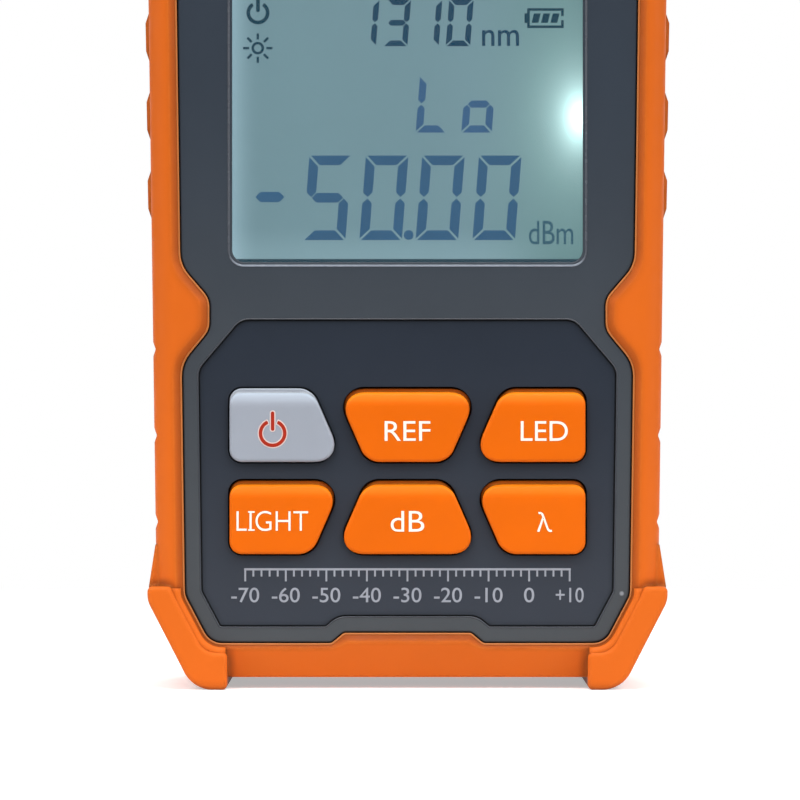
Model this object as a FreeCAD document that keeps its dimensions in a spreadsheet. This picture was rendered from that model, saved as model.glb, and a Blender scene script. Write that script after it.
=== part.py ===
import FreeCAD, Part
import math
import os
import sys
from types import SimpleNamespace

import Sketcher
from FreeCAD import Placement, Rotation, Vector

# A handheld optical power meter that stands on the two guards at its foot.
# X runs across the face, Z up the meter, and the face looks towards -Y.
# "Depth" below is measured from the back of the guards towards the face.
# All lengths are in millimetres.

SIZES = [
    # the whole housing
    ("body_height", 145.0, "height over the corner guards"),
    ("depth", 33.0, "thickness over the corner guards"),
    ("width_low", 77.8, "width of the boot at the foot"),
    ("width_high", 81.8, "width of the boot at the head"),
    ("corner_across", 7.4, "width of the slanted corner"),
    ("corner_rise", 13.8, "height of the slanted corner"),
    ("corner_round", 4.0, "rounding at both ends of the slanted corner"),
    # the rubber boot and its corner guards
    ("boot_wall", 2.4, "thickness of the boot round the covers"),
    ("boot_fit", 0.1, "gap between the boot and the covers"),
    ("boot_edge", 3.4, "rounding of the boot's long edges"),
    ("front_lip", 2.5, "thickness of the lip over the front cover"),
    ("back_lip", 2.2, "thickness of the lip over the rear cover"),
    ("rim_above_face", 0.9, "how far the front lip stands above the face"),
    ("rim_slope", 1.25, "width of the slope from the rim to the face"),
    ("back_band", 6.0, "width of the boot's band round the back"),
    ("back_inset", 0.4, "how far the rear face lies below the boot"),
    ("end_slope", 2.6, "how far the front falls away towards the ends"),
    ("seam_gap", 0.15, "visible gap between the boot and the faces"),
    ("guard_front", 1.0, "how far the guards stand above the boot's front"),
    ("guard_back", 0.6, "how far the guards stand behind the boot's back"),
    ("guard_end", 1.7, "how far the guards stand past the boot's ends"),
    ("guard_side", 1.2, "how far the guards stand past the boot's sides"),
    ("guard_toe", 3.5, "how far a guard reaches in past the face's slanted corner"),
    ("guard_top", 16.0, "length of a guard up the side"),
    ("guard_across", 7.1, "width of a guard's slant"),
    ("guard_knee", 13.8, "height of a guard's slant"),
    ("guard_round", 0.8, "rounding of the guards' edges"),
    ("foot_round", 5.0, "rounding from a guard's foot into its slant"),
    ("knee_round", 4.0, "rounding from a guard's slant into its side"),
    ("ramp_length", 6.4, "length of the ramp from a guard down to the side"),
    ("ramp_inset", 1.8, "how far a ramp stays from the front and back"),
    # grips on the boot's sides
    ("ridge_count", 4, "raised grips on each side"),
    ("ridge_first", 77.0, "height of the lowest raised grip"),
    ("ridge_head", 31.1, "distance of the highest raised grip from the head"),
    ("ridge_share", 0.55, "length of a raised grip as a share of their spacing"),
    ("ridge_proud", 0.6, "how far a raised grip stands out"),
    ("ridge_inset", 5.0, "how far the grips stay from the front and back"),
    ("groove_count", 3, "grooves on each side below the grips"),
    ("groove_first", 26.0, "height of the lowest groove"),
    ("groove_pitch", 13.4, "spacing of the grooves"),
    ("groove_width", 2.4, "width of a groove"),
    ("groove_cut", 0.5, "depth of a groove"),
    # outline of the dark face
    ("face_band", 4.6, "width of the orange band beside the face"),
    ("face_margin", 7.2, "height of the face's lower edge"),
    ("face_corner_across", 3.9, "width of the face's slanted corner"),
    ("face_corner_rise", 7.4, "height of the face's slanted corner"),
    ("waist_height", 58.2, "height of the middle of the waist"),
    ("waist_flat", 4.9, "straight part of the waist"),
    ("waist_slope", 5.2, "height of each slope beside the waist"),
    ("waist_depth", 4.4, "how far the boot reaches in at the waist"),
    ("waist_round", 5.4, "rounding of the outer waist corners"),
    ("waist_inner_round", 3.4, "rounding of the inner waist corners"),
    ("notch_half", 9.9, "half width of the raised middle of the lower edge"),
    ("notch_rise", 1.6, "height of the raised middle of the lower edge"),
    ("notch_run", 1.9, "width of the step beside the raised middle"),
    ("face_round", 3.0, "rounding of the face's corners"),
    ("face_edge", 0.4, "rounding of the face's edge"),
    # the covers
    ("cover_wall", 2.2, "wall of the front and rear covers"),
    ("post_inset", 11.6, "distance of a case screw from the boot's side"),
    ("post_end", 15.5, "distance of a case screw from the ends"),
    ("post_radius", 3.2, "radius of a screw post"),
    ("boss_radius", 3.9, "radius of a rear screw boss"),
    ("screw_radius", 1.45, "radius of a case screw"),
    ("screw_head_radius", 2.7, "radius of a case screw's head"),
    ("screw_head", 2.2, "height of a case screw's head"),
    ("screw_sunk", 2.6, "how far a case screw's head lies below the rear face"),
    ("screw_end", 1.7, "distance of a case screw's tip from the front cover's inner face"),
    ("screw_clearance", 0.25, "clearance round a case screw in the rear cover"),
    ("thread_fit", 0.05, "clearance of a screw in the post it grips"),
    # the keypad
    ("panel_margin", 2.4, "distance of the keypad recess from the face's outline"),
    ("panel_top", 57.5, "height of the keypad recess's upper edge"),
    ("panel_recess", 0.8, "depth of the keypad recess"),
    ("overlay_thick", 0.4, "thickness of the keypad overlay"),
    ("overlay_gap", 0.3, "gap round the keypad overlay"),
    ("keys_low", 21.0, "height of the lower edge of the lower keys"),
    ("key_height", 11.4, "height of a key"),
    ("key_row_gap", 2.9, "gap between the two rows of keys"),
    ("key_outer", 27.6, "distance of the outer keys' outer edge from the middle"),
    ("key_split", 10.6, "distance of a slanted gap's middle from the middle"),
    ("key_gap", 3.5, "width of a slanted gap between keys"),
    ("key_slant", 5.0, "run of a slanted key side"),
    ("key_round", 1.9, "rounding of a key's square corners"),
    ("key_tip_round", 3.0, "rounding of a key's slanted corners"),
    ("key_edge", 0.7, "rounding of a key's upper edge"),
    ("key_proud", 1.5, "how far a key stands above the overlay"),
    ("key_clearance", 0.25, "gap round a key in its opening"),
    ("key_wall", 1.9, "thickness of the face behind the keypad recess"),
    ("key_flange", 0.9, "width of the flange that keeps a key in"),
    ("flange_thick", 1.0, "thickness of a key's flange"),
    ("flange_play", 0.1, "gap between a key's flange and the face"),
    ("stem_radius", 2.3, "radius of a key's stem"),
    ("stem_length", 0.6, "length of a key's stem"),
    ("switch_width", 6.0, "width of a key switch"),
    ("plunger_radius", 1.75, "radius of a switch's plunger"),
    ("plunger_proud", 0.9, "how far a plunger stands out of its switch"),
    ("plunger_sunk", 1.3, "length of a plunger inside its switch"),
    ("plunger_fit", 0.05, "running clearance of a plunger in its switch"),
    ("key_travel", 0.6, "travel of a key"),
    # the display
    ("window_width", 54.5, "width of the display window"),
    ("window_low", 66.3, "height of the window's lower edge"),
    ("window_head", 34.6, "distance of the window's upper edge from the head"),
    ("window_round", 2.0, "rounding of the window's corners"),
    ("window_wall", 1.0, "thickness of the face over the lens"),
    ("window_edge", 0.25, "rounding of the window's edge"),
    ("lens_overlap", 2.2, "how far the lens reaches behind the face"),
    ("lens_thick", 1.4, "thickness of the lens"),
    ("glass_thick", 2.6, "thickness of the display glass"),
    ("guide_thick", 2.5, "thickness of the light guide"),
    ("frame_wall", 1.5, "wall of the display frame"),
    ("frame_base", 0.9, "thickness of the display frame's floor"),
    ("display_fit", 0.15, "clearance round the display parts"),
    ("strip_width", 1.8, "thickness of the rubber contact strip"),
    ("strip_inset", 0.6, "distance of the strip from the glass's lower edge"),
    ("strip_half", 24.0, "half length of the rubber contact strip"),
    # the circuit board
    ("board_thick", 1.6, "thickness of the circuit boards"),
    ("board_side", 2.1, "gap between the main board's side and the covers"),
    ("board_low", 18.9, "height of the main board's lower edge"),
    ("board_head", 21.5, "distance of the main board's upper edge from the head"),
    ("board_round", 1.5, "rounding of the boards' corners"),
    ("board_screw_inset", 3.4, "distance of a board screw from the board's side"),
    ("board_screw_low", 54.6, "height of the lower board screws"),
    ("board_screw_end", 4.9, "distance of the upper board screws from the board's upper edge"),
    ("board_post_radius", 2.2, "radius of a board post"),
    ("board_screw_radius", 1.0, "radius of a board screw"),
    ("board_screw_head", 1.2, "height of a board screw's head"),
    ("board_screw_grip", 3.2, "length of a board screw inside its post"),
    # the battery bay
    ("cell_length", 49.5, "length of a cell without its nub"),
    ("cell_gap", 0.4, "gap between neighbouring cells"),
    ("nub_radius", 2.7, "radius of a cell's nub"),
    ("nub_length", 1.0, "length of a cell's nub"),
    ("cell_play", 0.25, "gap beside, behind and in front of a cell"),
    ("contact_thick", 0.4, "thickness of the battery contacts"),
    ("contact_clear", 0.6, "gap between the latch hook and the battery contacts"),
    ("leaf_height", 5.2, "height of a contact's spring leaf"),
    ("bay_low", 23.0, "height of the battery bay's lower end"),
    ("bay_wall", 3.4, "wall of the battery box"),
    ("bay_roof", 1.4, "wall between the battery bay and the board"),
    ("bay_clear", 1.8, "gap between the battery box and the main board"),
    ("door_overlap", 1.9, "how far the door laps over the box's wall"),
    ("door_thick", 1.9, "thickness of the battery door"),
    ("door_gap", 0.2, "gap round the battery door"),
    ("door_play", 0.1, "gap between the door and its seat"),
    ("door_round", 2.4, "rounding of the door's corners"),
    ("tab_side", 12.0, "distance of a door tab from the middle"),
    ("tab_width", 7.0, "width of a door tab"),
    ("tab_reach", 2.2, "how far a tab hooks under the rear cover"),
    ("tab_thick", 1.2, "thickness of a door tab"),
    ("tab_room", 1.0, "room round a tab for the door to swing"),
    ("latch_width", 12.0, "width of the door's latch tongue"),
    ("latch_length", 9.0, "length of the latch tongue"),
    ("latch_slot", 0.8, "width of the slots beside the latch tongue"),
    ("latch_hook", 2.4, "how far the latch hook reaches in"),
    ("latch_hook_thick", 1.2, "thickness of the latch hook"),
    ("latch_rib_count", 4, "grip ribs on the latch tongue"),
    ("latch_rib_pitch", 1.7, "spacing of the grip ribs"),
    ("latch_rib_width", 0.8, "width of a grip rib"),
    ("latch_rib_proud", 0.3, "height of a grip rib"),
    # the panel at the head, with the optical port and the torch
    ("panel_half", 22.0, "half width of the end panel"),
    ("panel_inset", 7.3, "distance of the end panel's edges from the guards' front and back"),
    ("panel_flange", 1.4, "how far the end panel's flange reaches behind the covers"),
    ("panel_flange_thick", 1.5, "thickness of the end panel's flange"),
    ("panel_proud", 1.0, "how far the end panel stands out of the covers"),
    ("panel_round", 2.0, "rounding of the end panel's corners"),
    ("panel_fit", 0.1, "gap round the end panel"),
    ("port_side", 13.0, "distance of the port and the torch from the middle"),
    ("port_flange_wide", 17.0, "width of the adapter's flange"),
    ("port_flange_deep", 11.5, "size of the adapter's flange, front to back"),
    ("port_flange_thick", 1.6, "thickness of the adapter's flange"),
    ("port_screw_spread", 6.4, "distance of an adapter screw from the port"),
    ("port_screw_radius", 0.95, "radius of an adapter screw"),
    ("port_screw_head", 1.1, "height of an adapter screw's head"),
    ("barrel_radius", 4.0, "radius of the adapter's threaded barrel"),
    ("barrel_length", 6.0, "length of the adapter's threaded barrel"),
    ("ferrule_radius", 1.26, "radius of the bore that takes the fibre's ferrule"),
    ("key_slot_width", 2.1, "width of the barrel's keyway"),
    ("key_slot_cut", 1.0, "depth of the barrel's keyway"),
    ("spigot_length", 3.4, "length of the adapter behind its flange"),
    ("detector_radius", 2.3, "radius of the detector's can"),
    ("detector_height", 2.4, "height of the detector's can"),
    ("detector_rim", 0.35, "how far the detector's rim stands out of the can"),
    ("detector_rim_thick", 1.0, "thickness of the detector's rim"),
    ("lead_radius", 0.25, "radius of the leads"),
    ("lead_spread", 1.2, "distance of a lead from the middle of its part"),
    ("lead_end", 1.0, "length of a lead below its board"),
    ("cap_fit", 0.1, "clearance of the dust cap on the barrel"),
    ("cap_wall", 1.6, "wall of the dust cap"),
    ("cap_top", 1.8, "thickness of the dust cap's end"),
    ("cap_rim", 0.9, "how far the dust cap's rim stands out"),
    ("cap_rim_height", 1.8, "height of the dust cap's rim"),
    ("torch_radius", 4.6, "radius of the torch lens"),
    ("torch_ring", 1.9, "width of the ring round the torch lens"),
    ("torch_ring_proud", 1.4, "how far the torch ring stands out"),
    ("torch_sleeve", 0.8, "wall of the torch ring's sleeve"),
    ("torch_lens_thick", 1.2, "thickness of the torch lens at its edge"),
    ("torch_lens_crown", 0.7, "how far the torch lens is crowned"),
    ("reflector_wall", 0.7, "wall of the torch reflector"),
    ("reflector_length", 8.0, "length of the torch reflector"),
    ("led_radius", 2.5, "radius of the torch's light emitting diode"),
    ("led_height", 7.2, "height of the diode without its rim"),
    ("led_rim", 0.4, "how far the diode's rim stands out"),
    ("port_board_half", 21.0, "half width of the board behind the end panel"),
    ("port_board_back", 9.5, "depth of that board's rear edge"),
]

FULL_TURN = 360.0
TOUCH = 1e-4
EXACT = 0.0
MIDDLE = 0.0


class Size:
    """A length that knows its number and the formula of spreadsheet cells it comes from."""

    def __init__(self, number, formula=None):
        self.number = float(number)
        self.formula = formula if formula else repr(float(number))

    def _join(self, other, sign, number):
        return Size(number, f"({self.formula} {sign} {as_size(other).formula})")

    def __add__(self, other):
        return self._join(other, "+", self.number + as_size(other).number)

    def __sub__(self, other):
        return self._join(other, "-", self.number - as_size(other).number)

    def __mul__(self, other):
        return self._join(other, "*", self.number * as_size(other).number)

    def __truediv__(self, other):
        return self._join(other, "/", self.number / as_size(other).number)

    def __neg__(self):
        return Size(-self.number, f"(0 - {self.formula})")

    def __radd__(self, other):
        return as_size(other) + self

    def __rsub__(self, other):
        return as_size(other) - self

    def __rmul__(self, other):
        return as_size(other) * self


def as_size(value):
    return value if isinstance(value, Size) else Size(value)


def smaller(first, second):
    """The smaller of two sizes, as a formula."""
    first, second = as_size(first), as_size(second)
    return Size(min(first.number, second.number), f"min({first.formula}; {second.formula})")


def larger(first, second):
    """The larger of two sizes, as a formula."""
    first, second = as_size(first), as_size(second)
    return Size(max(first.number, second.number), f"max({first.formula}; {second.formula})")


def make_sheet(doc):
    """Writes the driving sizes to a spreadsheet and returns them by name."""
    sheet = doc.addObject("Spreadsheet::Sheet", "sizes")
    for row, (alias, value, words) in enumerate(SIZES, 1):
        sheet.set(f"A{row}", words)
        sheet.set(f"B{row}", str(value))
        sheet.setAlias(f"B{row}", alias)
    doc.recompute()
    return SimpleNamespace(
        **{alias: Size(float(sheet.get(alias)), f"sizes.{alias}") for alias, _, _ in SIZES}
    )


doc = FreeCAD.newDocument("optical_power_meter")
s = make_sheet(doc)
nodes = []


# ---------------------------------------------------------------- modelling helpers


def bind(thing, path, size):
    """Sets a property from a size, through its formula."""
    thing.setExpression(path, as_size(size).formula)


def new_body(name, is_node=True):
    body = doc.addObject("PartDesign::Body", name)
    body.Label = name
    if is_node:
        nodes.append(body)
    return body


def new_sketch(body, name, role, offset):
    """A sketch on one of the body's origin planes, moved along that plane's normal."""
    sketch = body.newObject("Sketcher::SketchObject", f"{body.Name}_{name}")
    plane = next(f for f in body.Origin.OriginFeatures if f.Role == role)
    sketch.AttachmentSupport = [(plane, "")]
    sketch.MapMode = "FlatFace"
    bind(sketch, "AttachmentOffset.Base.z", offset)
    return sketch


def face_sketch(body, name, level):
    """A sketch parallel to the meter's face, at a depth measured from the guards' back."""
    return new_sketch(body, name, "XZ_Plane", level - s.depth / 2)


def floor_sketch(body, name, height):
    """A sketch parallel to the floor, at a height. Its second axis points to the back."""
    return new_sketch(body, name, "XY_Plane", height)


def tie(kind, *where, size=None):
    """One constraint for the sketch, with the size that drives it, if any."""
    if size is None:
        return Sketcher.Constraint(kind, *where), None
    return Sketcher.Constraint(kind, *where, as_size(size).number), size


def point_ties(index, position, corner):
    """The two constraints that hold a point of the sketch at a corner."""
    return [
        tie("DistanceX", -1, 1, index, position, size=corner[0]),
        tie("DistanceY", -1, 1, index, position, size=corner[1]),
    ]


def constrain(sketch, ties):
    numbers = sketch.addConstraint([constraint for constraint, _ in ties])
    for number, (_, size) in zip(numbers, ties):
        if size is not None:
            bind(sketch, f"Constraints[{number}]", size)


def turn_at(before, here, after):
    """Unit directions into and out of a corner, and the angle turned there."""
    arriving = (here - before).normalize()
    leaving = (after - here).normalize()
    turn = math.atan2(
        arriving.x * leaving.y - arriving.y * leaving.x,
        arriving.x * leaving.x + arriving.y * leaving.y,
    )
    return arriving, leaving, turn


def corner_points(corners):
    return [Vector(as_size(c[0]).number, as_size(c[1]).number, 0) for c in corners]


def draw_outline(sketch, corners):
    """A closed outline of straight runs. A corner is (across, up) or (across, up, rounding)."""
    points = corner_points(corners)
    count = len(corners)
    base = sketch.GeometryCount
    starts, ends, arcs = [], [], []
    for i, corner in enumerate(corners):
        radius = as_size(corner[2]).number if len(corner) > 2 else 0.0
        arriving, leaving, turn = turn_at(points[i - 1], points[i], points[(i + 1) % count])
        cut = radius * math.tan(abs(turn) / 2)
        ends.append(points[i] - arriving * cut)
        starts.append(points[i] + leaving * cut)
        if radius:
            side = 1 if turn > 0 else -1
            centre = ends[i] + Vector(-arriving.y * side, arriving.x * side, 0) * radius
            first, last = (ends[i], starts[i]) if side > 0 else (starts[i], ends[i])
            angles = [math.atan2(p.y - centre.y, p.x - centre.x) for p in (first, last)]
            circle = Part.Circle(centre, Vector(0, 0, 1), radius)
            arcs.append((i, side, Part.ArcOfCircle(circle, *angles)))
    sketch.addGeometry(
        [Part.LineSegment(starts[i], ends[(i + 1) % count]) for i in range(count)], False
    )
    ties = []
    rounded = set()
    for i, side, arc in arcs:
        number = sketch.addGeometry(arc, False)
        mark = sketch.addGeometry(Part.Point(points[i]), True)
        arriving_line = base + (i - 1) % count
        leaving_line = base + i
        first, last = (1, 2) if side > 0 else (2, 1)
        ties += [
            tie("Tangent", arriving_line, 2, number, first),
            tie("Tangent", leaving_line, 1, number, last),
            tie("PointOnObject", mark, 1, arriving_line),
            tie("PointOnObject", mark, 1, leaving_line),
            tie("Radius", number, size=corners[i][2]),
        ]
        ties += point_ties(mark, 1, corners[i])
        rounded.add(i)
    for i in set(range(count)) - rounded:
        ties.append(tie("Coincident", base + (i - 1) % count, 2, base + i, 1))
        ties += point_ties(base + i, 1, corners[i])
    constrain(sketch, ties)


def draw_circle(sketch, across, up, radius):
    across, up, radius = as_size(across), as_size(up), as_size(radius)
    circle = Part.Circle(Vector(across.number, up.number, 0), Vector(0, 0, 1), radius.number)
    number = sketch.addGeometry(circle, False)
    constrain(sketch, [tie("Radius", number, size=radius)] + point_ties(number, 3, (across, up)))


def rectangle(left, low, right, high, rounding=None):
    corners = [(left, low), (right, low), (right, high), (left, high)]
    return [(*c, rounding) for c in corners] if rounding is not None else corners


def mirrored(half):
    """A whole outline from its right half, listed from the lowest corner to the highest."""
    return half + [(-c[0], *c[1:]) for c in reversed(half)]


def box(half, low, high, rounding=None):
    """A rectangle about the middle."""
    corners = [(half, low), (half, high)]
    return mirrored([(*c, rounding) for c in corners] if rounding is not None else corners)


def right_half(outline):
    """The right half of a mirrored outline, closed along the middle."""
    half = outline[: len(outline) // 2]
    return [(MIDDLE, half[0][1])] + half + [(MIDDLE, half[-1][1])]


SHARPEST = 0.2


def grown(corners, amount):
    """The outline moved outwards by an amount, or inwards by a negative one."""
    points = corner_points(corners)
    count = len(points)
    area = sum(points[i - 1].x * points[i].y - points[i].x * points[i - 1].y for i in range(count))
    side = 1 if area > 0 else -1
    amount = as_size(amount)
    result = []
    for i, corner in enumerate(corners):
        arriving, leaving, turn = turn_at(points[i - 1], points[i], points[(i + 1) % count])
        first = Vector(arriving.y * side, -arriving.x * side, 0)
        second = Vector(leaving.y * side, -leaving.x * side, 0)
        shift = (first + second) * (1 / (1 + first.dot(second)))
        moved = [corner[0] + amount * shift.x, corner[1] + amount * shift.y]
        if len(corner) > 2:
            convex = turn * side > 0
            rounding = corner[2] + amount if convex else corner[2] - amount
            moved.append(larger(rounding, SHARPEST))
        result.append(tuple(moved))
    return result


def add_feature(body, kind, name, **settings):
    feature = body.newObject(f"PartDesign::{kind}", f"{body.Name}_{name}")
    for key, value in settings.items():
        setattr(feature, key, value)
    if "FuzzyTolerance" in feature.PropertiesList:
        feature.FuzzyTolerance = EXACT
    return feature


def pad(body, name, sketch, length):
    feature = add_feature(body, "Pad", name, Profile=sketch)
    bind(feature, "Length", length)
    return feature


def pocket(body, name, sketch, length):
    """Cuts from the sketch against its normal: towards the back, or downwards."""
    feature = add_feature(body, "Pocket", name, Profile=sketch)
    bind(feature, "Length", length)
    return feature


def revolution(body, name, sketch):
    """Turns a sketch about its own vertical axis."""
    axis = (sketch, ["V_Axis"])
    return add_feature(body, "Revolution", name, Profile=sketch, ReferenceAxis=axis, Angle=FULL_TURN)


def round_edges(body, name, feature, chosen, radius):
    """Rounds the edges of the body so far that the chosen test picks."""
    doc.recompute([feature])
    edges = [f"Edge{i}" for i, edge in enumerate(feature.Shape.Edges, 1) if chosen(edge)]
    result = add_feature(body, "Fillet", name, Base=(feature, edges))
    bind(result, "Radius", radius)
    return result


def mirror_whole(body):
    """Completes a body modelled as its right half."""
    doc.recompute()
    plane = next(f for f in body.Origin.OriginFeatures if f.Role == "YZ_Plane")
    body.Tip = add_feature(
        body, "Mirrored", "whole", TransformMode="Whole shape", MirrorPlane=(plane, [""])
    )


def depth_of(point):
    """The depth of a point, measured from the guards' back."""
    return s.depth.number / 2 - point.y


def lies_at_depth(level):
    """A test for edges that lie at one depth, away from the middle plane."""

    def chosen(edge):
        points = [v.Point for v in edge.Vertexes]
        level_edge = all(abs(depth_of(p) - level.number) < TOUCH for p in points)
        return level_edge and any(abs(p.x) > TOUCH for p in points)

    return chosen


def as_group(name, members):
    """Several equal solids as one node."""
    group = doc.addObject("Part::Compound", name)
    group.Label = name
    group.Links = members
    nodes.append(group)
    return group


# ---------------------------------------------------------------- shared levels and outlines

boot_front = s.depth - s.guard_front
boot_back = s.guard_back
lip_under = boot_front - s.front_lip
shoulder = lip_under - s.boot_fit
face_level = boot_front - s.rim_above_face
rear_lip_under = boot_back + s.back_lip
rear_shoulder = rear_lip_under + s.boot_fit
rear_face = boot_back + s.back_inset
rear_floor = rear_face + s.cover_wall
ceiling = shoulder - s.cover_wall
parting = s.depth / 2
screw_grip = ceiling - parting - s.screw_end

recess_floor = face_level - s.panel_recess
overlay_top = recess_floor + s.overlay_thick
key_ceiling = recess_floor - s.key_wall
key_top = overlay_top + s.key_proud
flange_top = key_ceiling - s.flange_play
flange_under = flange_top - s.flange_thick
stem_end = flange_under - s.stem_length

lens_top = face_level - s.window_wall
glass_top = lens_top - s.lens_thick
guide_top = glass_top - s.glass_thick
frame_floor = guide_top - s.guide_thick
board_top = frame_floor - s.frame_base
board_under = board_top - s.board_thick
switch_top = stem_end - s.plunger_proud

door_seat = rear_face + s.door_thick + s.door_play
door_inner = rear_face + s.door_thick
box_top = board_under - s.bay_clear
bay_ceiling = box_top - s.bay_roof
cell_radius = (bay_ceiling - door_inner) / 2 - s.cell_play
cell_pitch = cell_radius * 2 + s.cell_gap
cell_depth = door_inner + s.cell_play + cell_radius
bay_half = cell_pitch + cell_radius + s.cell_play
contact_back = door_inner + s.latch_hook + s.contact_clear
contact_width = (cell_depth - contact_back) * 2
bay_high = (
    s.bay_low + s.cell_length + s.nub_length + s.leaf_height + s.contact_thick * 2
)


def half_width(height):
    """Half the boot's width, which tapers evenly from head to foot."""
    return s.width_low / 2 + (s.width_high - s.width_low) / 2 * height / s.body_height


window_height = s.body_height - s.window_head - s.window_low
panel_half_depth = s.depth / 2 - s.panel_inset
post_side = half_width(s.post_end) - s.post_inset
board_high = s.body_height - s.board_head
board_screw_high = board_high - s.board_screw_end
board_half = (
    smaller(half_width(s.board_low), half_width(board_high))
    - s.boot_wall
    - s.boot_fit
    - s.cover_wall
    - s.board_side
)
board_screw_side = board_half - s.board_screw_inset
ridge_pitch = (s.body_height - s.ridge_head - s.ridge_first) / (s.ridge_count - 1)
ridge_length = ridge_pitch * s.ridge_share


def core_outline():
    """The boot without its guards and grips."""
    low = s.guard_end
    high = s.body_height - s.guard_end
    knee_low = low + s.corner_rise
    knee_high = high - s.corner_rise
    return mirrored(
        [
            (half_width(low) - s.corner_across, low, s.corner_round),
            (half_width(knee_low), knee_low, s.corner_round),
            (half_width(knee_high), knee_high, s.corner_round),
            (half_width(high) - s.corner_across, high, s.corner_round),
        ]
    )


def face_side(height):
    return half_width(height) - s.face_band


waist_start = s.waist_height - s.waist_flat / 2 - s.waist_slope
waist_low = s.waist_height - s.waist_flat / 2
waist_high = s.waist_height + s.waist_flat / 2
waist_end = s.waist_height + s.waist_flat / 2 + s.waist_slope


def face_lower_corners():
    """The face's lower edge and side, up to where the waist starts."""
    knee = s.face_margin + s.face_corner_rise
    notch_round = s.notch_run / 2
    return [
        (s.notch_half, s.face_margin + s.notch_rise, notch_round),
        (s.notch_half + s.notch_run, s.face_margin, notch_round),
        (face_side(knee) - s.face_corner_across, s.face_margin, s.face_round),
        (face_side(knee), knee, s.face_round),
        (face_side(waist_start), waist_start, s.waist_round),
    ]


def face_outline():
    """The dark face, with its waist and its raised lower middle."""
    waist_side = face_side(s.waist_height) - s.waist_depth
    high = s.body_height - s.face_margin
    knee = high - s.face_corner_rise
    return mirrored(
        face_lower_corners()
        + [
            (waist_side, waist_low, s.waist_inner_round),
            (waist_side, waist_high, s.waist_inner_round),
            (face_side(waist_end), waist_end, s.waist_round),
            (face_side(knee), knee, s.face_round),
            (face_side(knee) - s.face_corner_across, high, s.face_round),
        ]
    )


def recess_outline():
    """The keypad recess: the face's outline moved in, with its shoulders carried up."""
    top = s.panel_top + s.panel_margin
    slope = s.waist_depth / s.waist_slope
    shoulder_top = face_side(waist_start) - (top - waist_start) * slope
    return grown(
        mirrored(face_lower_corners() + [(shoulder_top, top, s.waist_round)]), -s.panel_margin
    )


def back_outline():
    """The boot's opening at the back."""
    return grown(core_outline(), -s.back_band)


def cover_outline():
    """The outside of both covers, inside the boot."""
    return grown(core_outline(), -(s.boot_wall + s.boot_fit))


def cavity_outline():
    return grown(cover_outline(), -s.cover_wall)


def window_outline():
    high = s.window_low + window_height
    return box(s.window_width / 2, s.window_low, high, s.window_round)


def lens_outline():
    return grown(window_outline(), s.lens_overlap)


def case_screw_heights():
    return [s.post_end, s.body_height - s.post_end]


def board_screw_heights():
    return [s.board_screw_low, board_screw_high]


def both_sides(side, heights):
    return [(x, z) for z in heights for x in (-side, side)]


def key_layout():
    """Each key's name, outline and middle. The upper row is widest at its top."""
    rows = {
        "low": (s.keys_low, -s.key_slant / 2),
        "high": (s.keys_low + s.key_height + s.key_row_gap, s.key_slant / 2),
    }
    names = {
        ("high", -1): "power_key",
        ("high", 0): "reference_key",
        ("high", 1): "lamp_key",
        ("low", -1): "backlight_key",
        ("low", 0): "decibel_key",
        ("low", 1): "wavelength_key",
    }
    layout = []
    for (row, column), name in names.items():
        low, lean = rows[row]
        high = low + s.key_height
        if column == 0:
            half = s.key_split - s.key_gap / 2
            tips = [(half - lean, low, s.key_tip_round), (half + lean, high, s.key_tip_round)]
            corners = mirrored(tips)
            middle = MIDDLE
        else:
            inner = s.key_split + s.key_gap / 2
            corners = [
                (inner - lean, low, s.key_tip_round),
                (s.key_outer, low, s.key_round),
                (s.key_outer, high, s.key_round),
                (inner + lean, high, s.key_tip_round),
            ]
            corners = [(c[0] * column, *c[1:]) for c in corners]
            middle = (s.key_outer + inner) / 2 * column
        layout.append((name, corners, (middle, low + s.key_height / 2)))
    return layout


KEYS = key_layout()
RIGHT_KEYS = ["reference_key", "lamp_key", "decibel_key", "wavelength_key"]
keys_high = s.keys_low + s.key_height * 2 + s.key_row_gap


def cut_key_openings(body, level, length):
    """Cuts the right half of the keys' openings, one row at a time."""
    for row, names in (("upper", RIGHT_KEYS[:2]), ("lower", RIGHT_KEYS[2:])):
        openings = face_sketch(body, f"{row}_openings_outline", level)
        for name, corners, (x, _) in KEYS:
            if name in names:
                opening = grown(corners, s.key_clearance)
                draw_outline(openings, opening if as_size(x).number else right_half(opening))
        pocket(body, f"{row}_openings", openings, length)


# ---------------------------------------------------------------- the rubber boot


def guard_outline(at_head):
    """The right corner guard at the foot or the head, seen from the front."""
    corner = grown(face_outline(), s.seam_gap + s.rim_slope)
    low_inner, high_inner = (corner[9], corner[8]) if at_head else (corner[2], corner[3])

    def up(height):
        return s.body_height - height if at_head else height

    out = half_width(up(s.guard_knee)) + s.guard_side
    inner = high_inner[0] + s.guard_round
    inmost = low_inner[0] - s.guard_toe
    return [
        (inmost, up(MIDDLE), s.guard_round),
        (out - s.guard_across, up(MIDDLE), s.foot_round),
        (out, up(s.guard_knee), s.knee_round),
        (out, up(s.guard_top), s.guard_round),
        (inner, up(s.guard_top), s.guard_round),
        (high_inner[0], high_inner[1], s.guard_round),
        (low_inner[0], low_inner[1], s.face_round),
        (inmost, low_inner[1], s.guard_round),
    ]


def ramp_outline(at_head):
    """The ramp that leads from a guard down to the boot's side."""

    def up(height):
        return s.body_height - height if at_head else height

    start = s.guard_top - s.guard_side
    end = s.guard_top + s.ramp_length
    root = s.boot_wall / 2
    proud = s.guard_side * 0.9
    return [
        (half_width(up(start)) - root, up(start)),
        (half_width(up(start)) + proud, up(start)),
        (half_width(up(s.guard_top)) + proud, up(s.guard_top)),
        (half_width(up(end)), up(end)),
        (half_width(up(end)) - root, up(end)),
    ]


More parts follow.
